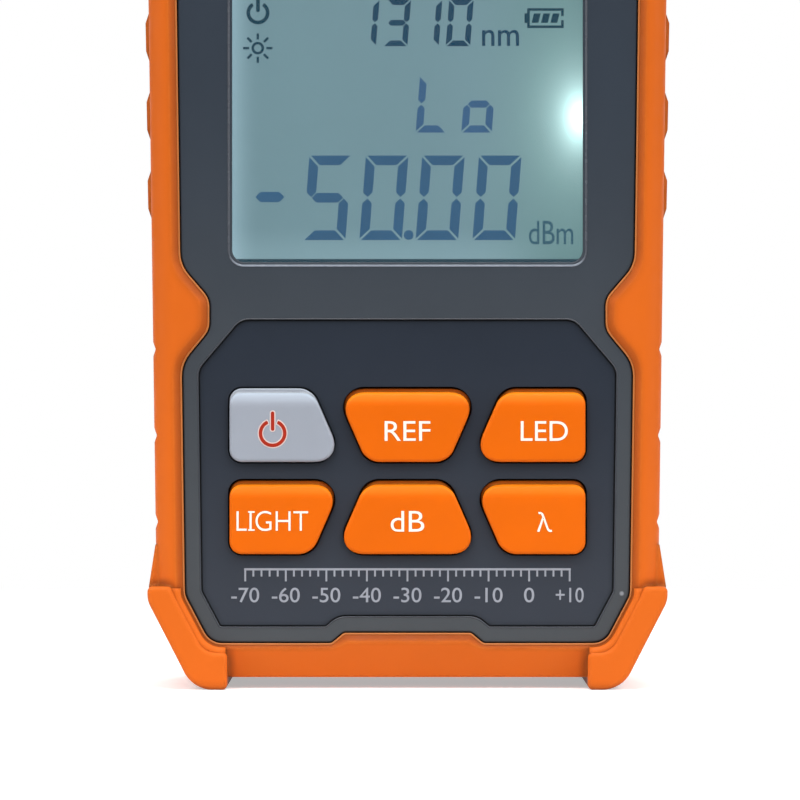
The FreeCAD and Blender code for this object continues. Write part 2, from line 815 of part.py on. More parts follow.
def ridge_outline(height):
    """One raised grip on the side, with sloped ends."""
    root = s.boot_wall / 2
    low, high = height - ridge_length / 2, height + ridge_length / 2
    slope = s.ridge_proud * 2
    return [
        (half_width(low) - root, low - s.ridge_proud),
        (half_width(low), low - s.ridge_proud),
        (half_width(low) + s.ridge_proud, low + slope, s.ridge_proud),
        (half_width(high) + s.ridge_proud, high - slope, s.ridge_proud),
        (half_width(high), high + s.ridge_proud),
        (half_width(high) - root, high + s.ridge_proud),
    ]


def groove_outline(height):
    """One groove across the side."""
    out = half_width(height) + s.groove_cut
    floor = half_width(height) - s.groove_cut
    return [
        (out, height - s.groove_width),
        (out, height + s.groove_width),
        (floor, height, s.groove_width / 4),
    ]


def make_boot():
    body = new_body("rubber_boot")
    core = face_sketch(body, "core_outline", boot_back)
    draw_outline(core, right_half(core_outline()))
    solid = pad(body, "core", core, boot_front - boot_back)

    def long_edge(edge):
        return lies_at_depth(boot_front)(edge) or lies_at_depth(boot_back)(edge)

    round_edges(body, "long_edges", solid, long_edge, s.boot_edge)

    slopes = new_sketch(body, "end_slopes_outline", "YZ_Plane", half_width(s.body_height))
    front = boot_front - s.depth / 2
    beyond = front + s.guard_front
    for foot in (True, False):
        end, start, outside = s.guard_end, s.face_margin, MIDDLE
        if not foot:
            end, start, outside = (s.body_height - h for h in (end, start, outside))
        draw_outline(
            slopes,
            [
                (-front, start),
                (-(front - s.end_slope), end),
                (-(front - s.end_slope), outside),
                (-beyond, outside),
                (-beyond, start),
            ],
        )
    pocket(body, "end_slopes", slopes, half_width(s.body_height))

    ramps = face_sketch(body, "ramp_outlines", boot_back + s.ramp_inset)
    for at_head in (False, True):
        draw_outline(ramps, ramp_outline(at_head))
    pad(body, "ramps", ramps, boot_front - boot_back - s.ramp_inset * 2)
    ridges = face_sketch(body, "ridge_outlines", boot_back + s.ridge_inset)
    for i in range(round(s.ridge_count.number)):
        draw_outline(ridges, ridge_outline(s.ridge_first + ridge_pitch * i))
    pad(body, "ridges", ridges, boot_front - boot_back - s.ridge_inset * 2)
    grooves = face_sketch(body, "groove_outlines", s.depth)
    for i in range(round(s.groove_count.number)):
        draw_outline(grooves, groove_outline(s.groove_first + s.groove_pitch * i))
    pocket(body, "grooves", grooves, s.depth)

    def guard_rim(edge):
        return lies_at_depth(s.depth)(edge) or lies_at_depth(Size(0))(edge)

    for name, at_head in (("foot_guard", False), ("head_guard", True)):
        guard = face_sketch(body, f"{name}_outline", MIDDLE)
        draw_outline(guard, guard_outline(at_head))
        last = pad(body, name, guard, s.depth)
    room = smaller(smaller(s.guard_front, s.guard_back) * 0.9, s.guard_round)
    round_edges(body, "guard_rims", last, guard_rim, room)

    inside = face_sketch(body, "inside_outline", lip_under)
    draw_outline(inside, right_half(grown(cover_outline(), s.boot_fit)))
    pocket(body, "inside", inside, lip_under - rear_lip_under)

    opening = face_sketch(body, "front_opening_outline", s.depth)
    draw_outline(opening, right_half(grown(face_outline(), s.seam_gap)))
    pocket(body, "front_opening", opening, s.depth - parting)

    slope_low = face_sketch(body, "rim_slope_low", face_level)
    draw_outline(slope_low, right_half(grown(face_outline(), s.seam_gap)))
    slope_high = face_sketch(body, "rim_slope_high", boot_front)
    draw_outline(slope_high, right_half(grown(face_outline(), s.seam_gap + s.rim_slope)))
    add_feature(
        body, "SubtractiveLoft", "rim_slope", Profile=slope_low, Sections=[slope_high], Ruled=True
    )

    back = face_sketch(body, "back_opening_outline", parting)
    draw_outline(back, right_half(grown(back_outline(), s.seam_gap)))
    pocket(body, "back_opening", back, parting)

    head = floor_sketch(body, "head_opening_outline", s.body_height)
    half = s.panel_half + s.panel_flange
    half_depth = panel_half_depth + s.panel_flange
    draw_outline(head, right_half(box(half, -half_depth, half_depth, s.panel_round)))
    pocket(body, "head_opening", head, s.guard_end + s.boot_wall + s.cover_wall)
    mirror_whole(body)


# ---------------------------------------------------------------- the two covers

panel_outer = s.body_height - s.guard_end - s.boot_wall - s.boot_fit
panel_inner = panel_outer - s.cover_wall


def cut_head_opening(body):
    """The opening in a cover's head that holds the end panel."""
    opening = floor_sketch(body, "head_opening_outline", panel_outer + s.boot_fit)
    half = s.panel_half + s.panel_fit
    half_depth = panel_half_depth + s.panel_fit
    rounding = s.panel_round + s.panel_fit
    draw_outline(opening, right_half(box(half, -half_depth, half_depth, rounding)))
    pocket(body, "head_opening", opening, s.cover_wall + s.boot_fit * 2)


def make_front_cover():
    body = new_body("front_cover")
    tray = face_sketch(body, "tray_outline", parting)
    draw_outline(tray, right_half(cover_outline()))
    pad(body, "tray", tray, shoulder - parting)
    face = face_sketch(body, "face_outline", shoulder)
    draw_outline(face, right_half(face_outline()))
    raised = pad(body, "face", face, face_level - shoulder)
    round_edges(body, "face_edge", raised, lies_at_depth(face_level), s.face_edge)

    recess = face_sketch(body, "recess_outline", face_level)
    draw_outline(recess, right_half(recess_outline()))
    pocket(body, "recess", recess, s.panel_recess)

    cavity = face_sketch(body, "cavity_outline", ceiling)
    draw_outline(cavity, right_half(cavity_outline()))
    pocket(body, "cavity", cavity, ceiling - parting)

    key_bay = face_sketch(body, "key_bay_outline", key_ceiling)
    margin = s.key_flange + s.flange_thick / 2
    low, high = s.keys_low - margin, keys_high + margin
    draw_outline(key_bay, right_half(box(s.key_outer + margin, low, high, s.key_round)))
    pocket(body, "key_bay", key_bay, key_ceiling - ceiling)

    lens_bed = face_sketch(body, "lens_bed_outline", lens_top)
    draw_outline(lens_bed, right_half(grown(lens_outline(), s.display_fit)))
    pocket(body, "lens_bed", lens_bed, lens_top - ceiling)

    window = face_sketch(body, "window_outline", face_level)
    draw_outline(window, right_half(window_outline()))
    opened = pocket(body, "window", window, s.window_wall)

    def window_rim(edge):
        low = s.window_low.number - TOUCH
        high = (s.window_low + window_height).number + TOUCH
        inside = all(low < v.Point.z < high for v in edge.Vertexes)
        narrow = all(v.Point.x < (s.window_width / 2).number + TOUCH for v in edge.Vertexes)
        return lies_at_depth(face_level)(edge) and inside and narrow

    round_edges(body, "window_edge", opened, window_rim, s.window_edge)
    cut_key_openings(body, recess_floor, s.key_wall)

    posts = face_sketch(body, "post_outlines", parting)
    board_posts = face_sketch(body, "board_post_outlines", board_top)
    hole_top = parting + screw_grip + s.thread_fit
    holes = face_sketch(body, "post_holes_outline", hole_top)
    board_hole_top = board_top + s.board_screw_grip + s.thread_fit
    board_holes = face_sketch(body, "board_post_holes_outline", board_hole_top)
    for z in case_screw_heights():
        draw_circle(posts, post_side, z, s.post_radius)
        draw_circle(holes, post_side, z, s.screw_radius + s.thread_fit)
    for z in board_screw_heights():
        draw_circle(board_posts, board_screw_side, z, s.board_post_radius)
        draw_circle(board_holes, board_screw_side, z, s.board_screw_radius + s.thread_fit)
    pad(body, "posts", posts, ceiling - parting)
    pad(body, "board_posts", board_posts, ceiling - board_top)
    pocket(body, "post_holes", holes, hole_top - parting)
    pocket(body, "board_post_holes", board_holes, board_hole_top - board_top)

    cut_head_opening(body)
    mirror_whole(body)


door_low = s.bay_low - s.door_overlap
door_high = bay_high + s.door_overlap


def door_outline():
    return box(bay_half + s.door_overlap, door_low, door_high, s.door_round)


def tab_outline(low, high, room=0.0):
    """The right one of the door's two tabs, seen from the back."""
    half = s.tab_width / 2 + room
    return rectangle(s.tab_side - half, low, s.tab_side + half, high)


def make_rear_cover():
    body = new_body("rear_cover")
    tray = face_sketch(body, "tray_outline", rear_shoulder)
    draw_outline(tray, right_half(cover_outline()))
    pad(body, "tray", tray, parting - rear_shoulder)
    face = face_sketch(body, "face_outline", rear_face)
    draw_outline(face, right_half(back_outline()))
    raised = pad(body, "face", face, rear_shoulder - rear_face)
    round_edges(body, "face_edge", raised, lies_at_depth(rear_face), s.face_edge)

    cavity = face_sketch(body, "cavity_outline", parting)
    draw_outline(cavity, right_half(cavity_outline()))
    pocket(body, "cavity", cavity, parting - rear_floor)

    battery_box = face_sketch(body, "battery_box_outline", rear_floor)
    half, low, high = bay_half + s.bay_wall, s.bay_low - s.bay_wall, bay_high + s.bay_wall
    draw_outline(battery_box, right_half(box(half, low, high, s.door_round)))
    pad(body, "battery_box", battery_box, box_top - rear_floor)

    bosses = face_sketch(body, "boss_outlines", rear_floor)
    head_seat = rear_face + s.screw_sunk + s.screw_head
    sinks = face_sketch(body, "screw_sinks_outline", head_seat)
    holes = face_sketch(body, "screw_holes_outline", parting)
    for z in case_screw_heights():
        draw_circle(bosses, post_side, z, s.boss_radius)
        draw_circle(sinks, post_side, z, s.screw_head_radius + s.screw_clearance)
        draw_circle(holes, post_side, z, s.screw_radius + s.screw_clearance)
    pad(body, "bosses", bosses, parting - rear_floor)

    bay = face_sketch(body, "bay_outline", bay_ceiling)
    draw_outline(bay, right_half(box(bay_half, s.bay_low, bay_high)))
    pocket(body, "bay", bay, bay_ceiling - rear_face)

    door_bed = face_sketch(body, "door_bed_outline", door_seat)
    draw_outline(door_bed, right_half(grown(door_outline(), s.door_gap)))
    pocket(body, "door_bed", door_bed, door_seat - rear_face)

    hollow_top = rear_floor + s.tab_thick + s.tab_room
    tab_hollow = face_sketch(body, "tab_hollow_outline", hollow_top)
    hollow_low = door_low - s.tab_reach - s.tab_room
    draw_outline(tab_hollow, tab_outline(hollow_low, s.bay_low, s.door_gap))
    pocket(body, "tab_hollow", tab_hollow, hollow_top - rear_floor)
    tab_path = face_sketch(body, "tab_path_outline", rear_floor)
    draw_outline(tab_path, tab_outline(door_low - s.door_gap, s.bay_low, s.door_gap))
    pocket(body, "tab_path", tab_path, rear_floor - rear_face)

    hook_top = door_seat + s.latch_hook + s.door_gap
    hook_room = face_sketch(body, "hook_room_outline", hook_top)
    half = s.latch_width / 2 + s.door_gap
    draw_outline(hook_room, right_half(box(half, bay_high - s.tab_room, door_high)))
    pocket(body, "hook_room", hook_room, hook_top - door_seat)

    pocket(body, "screw_sinks", sinks, head_seat)
    pocket(body, "screw_holes", holes, parting)

    cut_head_opening(body)
    mirror_whole(body)


# ---------------------------------------------------------------- screws


def make_screw(name, radius, head_radius, head, length, drive):
    """A pan head screw along +Z with its head's underside at the origin, and a cross in it."""
    body = new_body(name, is_node=False)
    profile = new_sketch(body, "profile", "XZ_Plane", MIDDLE)
    tip = radius / 2
    draw_outline(
        profile,
        [
            (MIDDLE, length),
            (MIDDLE, -head),
            (head_radius - head / 3, -head),
            (head_radius, -head * (2 / 3)),
            (head_radius, MIDDLE),
            (radius, MIDDLE),
            (radius, length - tip),
            (radius - tip, length),
        ],
    )
    revolution(body, "shape", profile)
    cross = new_sketch(body, "cross_outline", "XY_Plane", -head * 0.4)
    arm, half = head_radius * 0.6, drive / 2
    draw_outline(
        cross,
        [
            (arm, -half),
            (arm, half),
            (half, half),
            (half, arm),
            (-half, arm),
            (-half, half),
            (-arm, half),
            (-arm, -half),
            (-half, -half),
            (-half, -arm),
            (half, -arm),
            (half, -half),
        ],
    )
    pocket(body, "cross", cross, head)
    return body


def place(thing, x, y, z, rotation=None):
    """Puts a part in its place by formulas, with an optional fixed turn."""
    thing.Placement = Placement(Vector(0, 0, 0), rotation or Rotation())
    for axis, size in (("x", x), ("y", y), ("z", z)):
        bind(thing, f"Placement.Base.{axis}", size)


TO_FRONT = Rotation(Vector(1, 0, 0), 90)
DOWN = Rotation(Vector(1, 0, 0), 180)


def make_case_screws():
    members = []
    seat = rear_face + s.screw_sunk + s.screw_head
    length = parting + screw_grip - seat
    for i, (x, z) in enumerate(both_sides(post_side, case_screw_heights()), 1):
        screw = make_screw(
            f"case_screw_{i}",
            s.screw_radius,
            s.screw_head_radius,
            s.screw_head,
            length,
            s.screw_radius / 2,
        )
        place(screw, x, s.depth / 2 - seat, z, TO_FRONT)
        members.append(screw)
    as_group("case_screws", members)


def make_board_screws():
    members = []
    for i, (x, z) in enumerate(both_sides(board_screw_side, board_screw_heights()), 1):
        screw = make_screw(
            f"board_screw_{i}",
            s.board_screw_radius,
            s.board_screw_radius * 2,
            s.board_screw_head,
            s.board_thick + s.board_screw_grip,
            s.board_screw_radius / 2,
        )
        place(screw, x, s.depth / 2 - board_under, z, TO_FRONT)
        members.append(screw)
    as_group("board_screws", members)


# ---------------------------------------------------------------- keypad


def make_overlay():
    body = new_body("keypad_overlay")
    sheet = face_sketch(body, "outline", recess_floor)
    draw_outline(sheet, right_half(grown(recess_outline(), -s.overlay_gap)))
    pad(body, "sheet", sheet, s.overlay_thick)
    cut_key_openings(body, overlay_top, s.overlay_thick)
    mirror_whole(body)


def make_keys():
    for name, corners, (x, z) in KEYS:
        body = new_body(name)
        flange = face_sketch(body, "flange_outline", flange_under)
        draw_outline(flange, grown(corners, s.key_flange))
        pad(body, "flange", flange, s.flange_thick)
        button = face_sketch(body, "button_outline", flange_top)
        draw_outline(button, corners)
        top = pad(body, "button", button, key_top - flange_top)
        round_edges(body, "button_edge", top, lies_at_depth(key_top), s.key_edge)
        stem = face_sketch(body, "stem_outline", stem_end)
        draw_circle(stem, x, z, s.stem_radius)
        pad(body, "stem", stem, s.stem_length)


def make_switches():
    """A square switch on the board behind each key, and the plunger that its key pushes."""
    members = []
    for name, _, (x, z) in KEYS:
        stem = name.replace("_key", "")
        body = new_body(f"{stem}_switch", is_node=False)
        case = face_sketch(body, "case_outline", board_top)
        half = s.switch_width / 2
        draw_outline(case, rectangle(x - half, z - half, x + half, z + half))
        pad(body, "case", case, switch_top - board_top)
        bore = face_sketch(body, "bore_outline", switch_top)
        draw_circle(bore, x, z, s.plunger_radius + s.plunger_fit)
        pocket(body, "bore", bore, s.plunger_sunk + s.key_travel + s.plunger_fit)
        members.append(body)
        plunger = new_body(f"{stem}_plunger")
        rod = face_sketch(plunger, "outline", switch_top - s.plunger_sunk)
        draw_circle(rod, x, z, s.plunger_radius)
        pad(plunger, "rod", rod, s.plunger_sunk + s.plunger_proud)
    as_group("key_switches", members)


# ---------------------------------------------------------------- display and boards


def make_display():
    lens = new_body("display_lens")
    sheet = face_sketch(lens, "outline", glass_top)
    draw_outline(sheet, lens_outline())
    pad(lens, "sheet", sheet, s.lens_thick)

    glass = new_body("display_glass")
    plate = face_sketch(glass, "outline", guide_top)
    draw_outline(plate, lens_outline())
    pad(glass, "plate", plate, s.glass_thick)

    half, low = lens_outline()[0][:2]
    high = lens_outline()[1][1]
    strip_low = low + s.strip_inset
    strip_high = strip_low + s.strip_width
    guide_low = strip_high + s.display_fit + s.frame_wall

    guide = new_body("light_guide")
    plate = face_sketch(guide, "outline", frame_floor)
    draw_outline(plate, box(half, guide_low, high))
    pad(guide, "plate", plate, s.guide_thick)

    strip = new_body("contact_strip")
    bar = face_sketch(strip, "outline", board_top)
    draw_outline(bar, box(s.strip_half, strip_low, strip_high))
    pad(strip, "bar", bar, guide_top - board_top)

    frame = new_body("display_frame")
    outer = face_sketch(frame, "outline", board_top)
    draw_outline(outer, grown(lens_outline(), s.display_fit + s.frame_wall))
    pad(frame, "tray", outer, ceiling - s.display_fit - board_top)
    glass_bed = face_sketch(frame, "glass_bed_outline", ceiling)
    draw_outline(glass_bed, grown(lens_outline(), s.display_fit))
    pocket(frame, "glass_bed", glass_bed, ceiling - guide_top)
    guide_bed = face_sketch(frame, "guide_bed_outline", guide_top)
    fit = s.display_fit
    draw_outline(guide_bed, box(half + fit, guide_low - fit, high + fit))
    pocket(frame, "guide_bed", guide_bed, s.guide_thick)
    slot = face_sketch(frame, "strip_slot_outline", guide_top)
    draw_outline(slot, box(s.strip_half + fit, strip_low - fit, strip_high + fit))
    pocket(frame, "strip_slot", slot, guide_top - board_top)


def make_main_board():
    body = new_body("main_board")
    plate = face_sketch(body, "outline", board_under)
    draw_outline(plate, box(board_half, s.board_low, board_high, s.board_round))
    for x, z in both_sides(board_screw_side, board_screw_heights()):
        draw_circle(plate, x, z, s.board_screw_radius + s.thread_fit * 2)
    pad(body, "plate", plate, s.board_thick)


# ---------------------------------------------------------------- battery bay

CELL_COLUMNS = {"left": -1, "middle": 0, "right": 1}
NUB_UP = {"left": True, "middle": False, "right": True}


def make_cells():
    """Three cells side by side; the middle one stands on its nub."""
    for name, column in CELL_COLUMNS.items():
        body = new_body(f"battery_cell_{name}")
        profile = new_sketch(body, "profile", "XZ_Plane", MIDDLE)
        shoulder_round = s.nub_length * 0.8
        total = s.cell_length + s.nub_length
        draw_outline(
            profile,
            [
                (MIDDLE, MIDDLE),
                (cell_radius, MIDDLE, shoulder_round / 2),
                (cell_radius, s.cell_length, shoulder_round),
                (s.nub_radius, s.cell_length),
                (s.nub_radius, total, s.nub_length / 3),
                (MIDDLE, total),
            ],
        )
        revolution(body, "can", profile)
        x = cell_pitch * column
        y = s.depth / 2 - cell_depth
        if NUB_UP[name]:
            place(body, x, y, s.bay_low + s.contact_thick + s.leaf_height)
        else:
            place(body, x, y, bay_high - s.contact_thick - s.leaf_height, DOWN)


def leaf_corners(middle, foot, way):
    """A hat shaped spring leaf that stands on a contact plate, seen from the front."""
    thick = s.contact_thick
    half_foot, half_top = s.nub_radius * 2, s.nub_radius
    top = s.leaf_height
    return [
        (middle - half_foot, foot),
        (middle - half_foot + thick * 2, foot),
        (middle - half_top + thick / 2, foot + (top - thick) * way),
        (middle + half_top - thick / 2, foot + (top - thick) * way),
        (middle + half_foot - thick * 2, foot),
        (middle + half_foot, foot),
        (middle + half_top, foot + top * way),
        (middle - half_top, foot + top * way),
    ]


def make_contacts():
    """Bent plates at both ends of the bay. A spring leaf presses on each flat cell end."""
    low_plate = s.bay_low + s.contact_thick
    high_plate = bay_high - s.contact_thick
    groups = {
        "low_contacts": (s.bay_low, low_plate, 1, [(-1, -1), (0, 1)]),
        "high_contacts": (high_plate, high_plate, -1, [(-1, 0), (1, 1)]),
    }
    half = cell_pitch / 2 - s.door_overlap / 2
    for name, (plate_low, foot, way, spans) in groups.items():
        members = []
        for i, (first, last) in enumerate(spans, 1):
            body = new_body(f"{name}_{i}", is_node=False)
            plate = face_sketch(body, "plate_outline", contact_back)
            left, right = cell_pitch * first - half, cell_pitch * last + half
            draw_outline(plate, rectangle(left, plate_low, right, plate_low + s.contact_thick))
            pad(body, "plate", plate, contact_width)
            for column in range(first, last + 1):
                nub_is_up = column != 0
                flat_end_here = nub_is_up == (way > 0)
                if flat_end_here:
                    leaf = face_sketch(body, "leaf_outline", contact_back)
                    draw_outline(leaf, leaf_corners(cell_pitch * column, foot, way))
                    pad(body, "leaf", leaf, contact_width)
            members.append(body)
        as_group(name, members)


def make_battery_door():
    body = new_body("battery_door")
    plate = face_sketch(body, "outline", rear_face)
    draw_outline(plate, right_half(door_outline()))
    solid = pad(body, "plate", plate, s.door_thick)
    round_edges(body, "edge", solid, lies_at_depth(rear_face), s.face_edge)

    roots = face_sketch(body, "tab_root_outline", door_inner)
    draw_outline(roots, tab_outline(door_low + s.door_gap, s.bay_low))
    pad(body, "tab_root", roots, rear_floor + s.door_play - door_inner)
    tabs = face_sketch(body, "tab_outline", rear_floor + s.door_play)
    draw_outline(tabs, tab_outline(door_low - s.tab_reach, s.bay_low))
    pad(body, "tab", tabs, s.tab_thick)

    slots = face_sketch(body, "latch_slot_outline", door_inner)
    half = s.latch_width / 2
    slot_low, slot_high = door_high - s.latch_length, door_high + s.latch_slot
    draw_outline(slots, rectangle(half, slot_low, half + s.latch_slot, slot_high))
    pocket(body, "latch_slot", slots, s.door_thick)

    hook = face_sketch(body, "latch_hook_outline", door_inner)
    hook_low = bay_high - s.tab_room + s.door_gap
    rib_half = half - s.latch_slot
    draw_outline(hook, right_half(box(rib_half, hook_low, hook_low + s.latch_hook_thick)))
    pad(body, "latch_hook", hook, s.latch_hook)

    ribs = face_sketch(body, "latch_ribs_outline", rear_face - s.latch_rib_proud)
    for i in range(round(s.latch_rib_count.number)):
        low = door_high - s.latch_rib_pitch * (i + 1)
        draw_outline(ribs, right_half(box(rib_half, low, low + s.latch_rib_width)))
    pad(body, "latch_ribs", ribs, s.latch_rib_proud)
    mirror_whole(body)


# ---------------------------------------------------------------- the head: port and torch

panel_face = panel_outer + s.panel_proud
flange_high = panel_inner - s.panel_fit
flange_low = flange_high - s.panel_flange_thick
adapter_top = panel_face + s.port_flange_thick + s.barrel_length
adapter_low = panel_face - s.spigot_length
spigot_radius = s.barrel_radius - s.thread_fit * 2
can_top = adapter_low + s.detector_height
torch_sleeve_radius = s.torch_radius + s.torch_sleeve


def make_end_panel():
    body = new_body("end_panel")
    flange = floor_sketch(body, "flange_outline", flange_low)
    half = s.panel_half + s.panel_flange
    half_depth = panel_half_depth + s.panel_flange
    draw_outline(flange, box(half, -half_depth, half_depth, s.panel_round))
    pad(body, "flange", flange, s.panel_flange_thick)
    plate = floor_sketch(body, "plate_outline", flange_high)
    draw_outline(plate, box(s.panel_half, -panel_half_depth, panel_half_depth, s.panel_round))
    pad(body, "plate", plate, panel_face - flange_high)
    holes = floor_sketch(body, "holes_outline", panel_face)
    draw_circle(holes, -s.port_side, MIDDLE, spigot_radius + s.thread_fit * 2)
    draw_circle(holes, s.port_side, MIDDLE, torch_sleeve_radius + s.thread_fit * 2)
    for side in (-1, 1):
        x = -s.port_side + s.port_screw_spread * side
        draw_circle(holes, x, MIDDLE, s.port_screw_radius + s.thread_fit)
    pocket(body, "holes", holes, panel_face - flange_low)


def make_adapter():
    body = new_body("fibre_adapter")
    flange = floor_sketch(body, "flange_outline", panel_face)
    half, half_depth = s.port_flange_wide / 2, s.port_flange_deep / 2
    draw_outline(
        flange,
        rectangle(
            -s.port_side - half, -half_depth, -s.port_side + half, half_depth, s.panel_round
        ),
    )
    pad(body, "flange", flange, s.port_flange_thick)
    barrel = floor_sketch(body, "barrel_outline", panel_face + s.port_flange_thick)
    draw_circle(barrel, -s.port_side, MIDDLE, s.barrel_radius)
    pad(body, "barrel", barrel, s.barrel_length)
    spigot = floor_sketch(body, "spigot_outline", adapter_low)
    draw_circle(spigot, -s.port_side, MIDDLE, spigot_radius)
    pad(body, "spigot", spigot, s.spigot_length)
    bore = floor_sketch(body, "bore_outline", adapter_top)
    draw_circle(bore, -s.port_side, MIDDLE, s.ferrule_radius)
    pocket(body, "bore", bore, adapter_top - adapter_low)
    seat = floor_sketch(body, "detector_seat_outline", can_top + s.thread_fit)
    draw_circle(seat, -s.port_side, MIDDLE, s.detector_radius + s.thread_fit)
    pocket(body, "detector_seat", seat, s.detector_height + s.thread_fit)
    keyway = floor_sketch(body, "keyway_outline", adapter_top)
    half = s.key_slot_width / 2
    reach = s.barrel_radius - s.key_slot_cut
    draw_outline(
        keyway,
        rectangle(-s.port_side - half, reach, -s.port_side + half, s.barrel_radius * 2),
    )
    pocket(body, "keyway", keyway, s.barrel_length / 2)
    screws = floor_sketch(body, "screw_holes_outline", panel_face + s.port_flange_thick)
    for side in (-1, 1):
        x = -s.port_side + s.port_screw_spread * side
        draw_circle(screws, x, MIDDLE, s.port_screw_radius + s.thread_fit)
    pocket(body, "screw_holes", screws, s.port_flange_thick)

    members = []
    for i, side in enumerate((-1, 1), 1):
        screw = make_screw(
            f"adapter_screw_{i}",
            s.port_screw_radius,
            s.port_screw_radius * 1.8,
            s.port_screw_head,
            s.port_flange_thick + panel_face - flange_low,
            s.port_screw_radius / 2,
        )
        x = -s.port_side + s.port_screw_spread * side
        place(screw, x, MIDDLE, panel_face + s.port_flange_thick, DOWN)
        members.append(screw)
    as_group("adapter_screws", members)


def draw_leads(body, low, high, places):
    leads = floor_sketch(body, "leads_outline", low)
    for x, y in places:
        draw_circle(leads, x, y, s.lead_radius)
    pad(body, "leads", leads, high - low)


def make_detector():
    body = new_body("light_detector")
    rim_low = adapter_low - s.detector_rim_thick
    rim = floor_sketch(body, "rim_outline", rim_low)
    draw_circle(rim, -s.port_side, MIDDLE, s.detector_radius + s.detector_rim)
    pad(body, "rim", rim, s.detector_rim_thick)
    can = floor_sketch(body, "can_outline", adapter_low)
    draw_circle(can, -s.port_side, MIDDLE, s.detector_radius)
    pad(body, "can", can, s.detector_height)
    spread = s.lead_spread
    places = [(-s.port_side - spread, MIDDLE), (-s.port_side + spread, MIDDLE)]
    places.append((-s.port_side, spread))
    draw_leads(body, board_high - s.lead_end, rim_low, places)


def turned_profile(body, name, x, corners):
    """Turns a profile about the vertical line at x. Its corners are (radius, height)."""
    profile = new_sketch(body, f"{name}_profile", "XZ_Plane", MIDDLE)
    draw_outline(profile, corners)
    revolution(body, name, profile)
    place(body, x, MIDDLE, MIDDLE)


def make_dust_cap():
    """A rubber cap that pushes over the adapter's barrel, with a rim to pull it by."""
    body = new_body("dust_cap")
    low = panel_face + s.port_flange_thick + s.port_screw_head + s.cap_fit
    inner = s.barrel_radius + s.cap_fit
    outer = inner + s.cap_wall
    roof = adapter_top + s.cap_fit
    top = roof + s.cap_top
    turned_profile(
        body,
        "shape",
        -s.port_side,
        [
            (MIDDLE, roof),
            (inner, roof),
            (inner, low),
            (outer + s.cap_rim, low, s.cap_rim / 3),
            (outer + s.cap_rim, low + s.cap_rim_height, s.cap_rim / 3),
            (outer, low + s.cap_rim_height, s.cap_rim / 3),
            (outer, top, s.cap_top / 2),
            (MIDDLE, top),
        ],
    )


def make_torch():
    """A white diode in a reflector, behind a crowned lens held by a ring."""
    ring_top = panel_face + s.torch_ring_proud
    sleeve_low = panel_inner
    ring = new_body("torch_ring")
    lip = s.torch_ring / 4
    turned_profile(
        ring,
        "shape",
        s.port_side,
        [
            (s.torch_radius - lip, ring_top),
            (s.torch_radius - lip, ring_top - lip),
            (s.torch_radius + s.thread_fit, ring_top - lip),
            (s.torch_radius + s.thread_fit, sleeve_low),
            (torch_sleeve_radius, sleeve_low),
            (torch_sleeve_radius, panel_face),
            (s.torch_radius + s.torch_ring, panel_face),
            (s.torch_radius + s.torch_ring, ring_top, s.torch_ring / 4),
        ],
    )
    lens_high = ring_top - lip
    lens_low = lens_high - s.torch_lens_thick
    lens = new_body("torch_lens")
    inner = s.torch_radius - lip - s.thread_fit
    turned_profile(
        lens,
        "shape",
        s.port_side,
        [
            (MIDDLE, lens_low),
            (s.torch_radius, lens_low),
            (s.torch_radius, lens_high),
            (inner, lens_high),
            (inner * 0.8, lens_high + s.torch_lens_crown * 0.6),
            (inner * 0.45, lens_high + s.torch_lens_crown),
            (MIDDLE, lens_high + s.torch_lens_crown),
        ],
    )
    reflector = new_body("torch_reflector")
    high = lens_low
    low = high - s.reflector_length
    wall = s.reflector_wall
    mouth = s.torch_radius - s.thread_fit
    throat = s.led_radius + s.led_rim
    turned_profile(
        reflector,
        "shape",
        s.port_side,
        [
            (throat, low),
            (throat + wall, low),
            (mouth, high - s.reflector_length / 2),
            (mouth, high),
            (mouth - wall, high),
            (mouth - wall, high - s.reflector_length / 3),
        ],
    )
    led = new_body("torch_diode")
    foot = board_high + s.board_thick
    top = foot + s.led_height
    turned_profile(
        led,
        "shape",
        s.port_side,
        [
            (MIDDLE, foot),
            (s.led_radius + s.led_rim, foot),
            (s.led_radius + s.led_rim, foot + s.led_rim * 2),
            (s.led_radius, foot + s.led_rim * 2),
            (s.led_radius, top, s.led_radius * 0.8),
            (MIDDLE, top),
        ],
    )
    spread = s.lead_spread
    draw_leads(led, board_high - s.lead_end, foot, [(-spread, MIDDLE), (spread, MIDDLE)])


def make_port_board():
    """A small board that stands on the main board's upper edge and carries both parts."""
    body = new_body("port_board")
    plate = floor_sketch(body, "outline", board_high)
    half = s.port_board_half
    front, back = s.depth / 2 - board_top, s.depth / 2 - s.port_board_back
    draw_outline(plate, rectangle(-half, front, half, back, s.board_round))
    spread = s.lead_spread
    hole = s.lead_radius + s.thread_fit
    for side in (-1, 1):
        draw_circle(plate, -s.port_side + spread * side, MIDDLE, hole)
        draw_circle(plate, s.port_side + spread * side, MIDDLE, hole)
    draw_circle(plate, -s.port_side, spread, hole)
    pad(body, "plate", plate, s.board_thick)


# ---------------------------------------------------------------- build, check and write

make_boot()
make_front_cover()
make_rear_cover()
make_case_screws()
make_overlay()
make_keys()
make_switches()
make_display()
make_main_board()
make_board_screws()
make_battery_door()
make_cells()
make_contacts()
make_end_panel()
make_adapter()
make_detector()
make_dust_cap()
make_torch()
make_port_board()
doc.recompute()

faults = [o.Name for o in doc.Objects if {"Invalid", "Error"} & set(o.State)]
for node in nodes:
    shape = node.Shape
    if shape.isNull() or not shape.isValid() or not shape.Solids:
        faults.append(f"{node.Label} has no valid solid")
if faults:
    sys.exit(f"these failed: {faults}")

os.makedirs("parts", exist_ok=True)
for node in nodes:
    node.Shape.exportStep(os.path.join("parts", f"{node.Label}.step"))
print(f"{len(nodes)} sub-parts written")
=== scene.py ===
import math

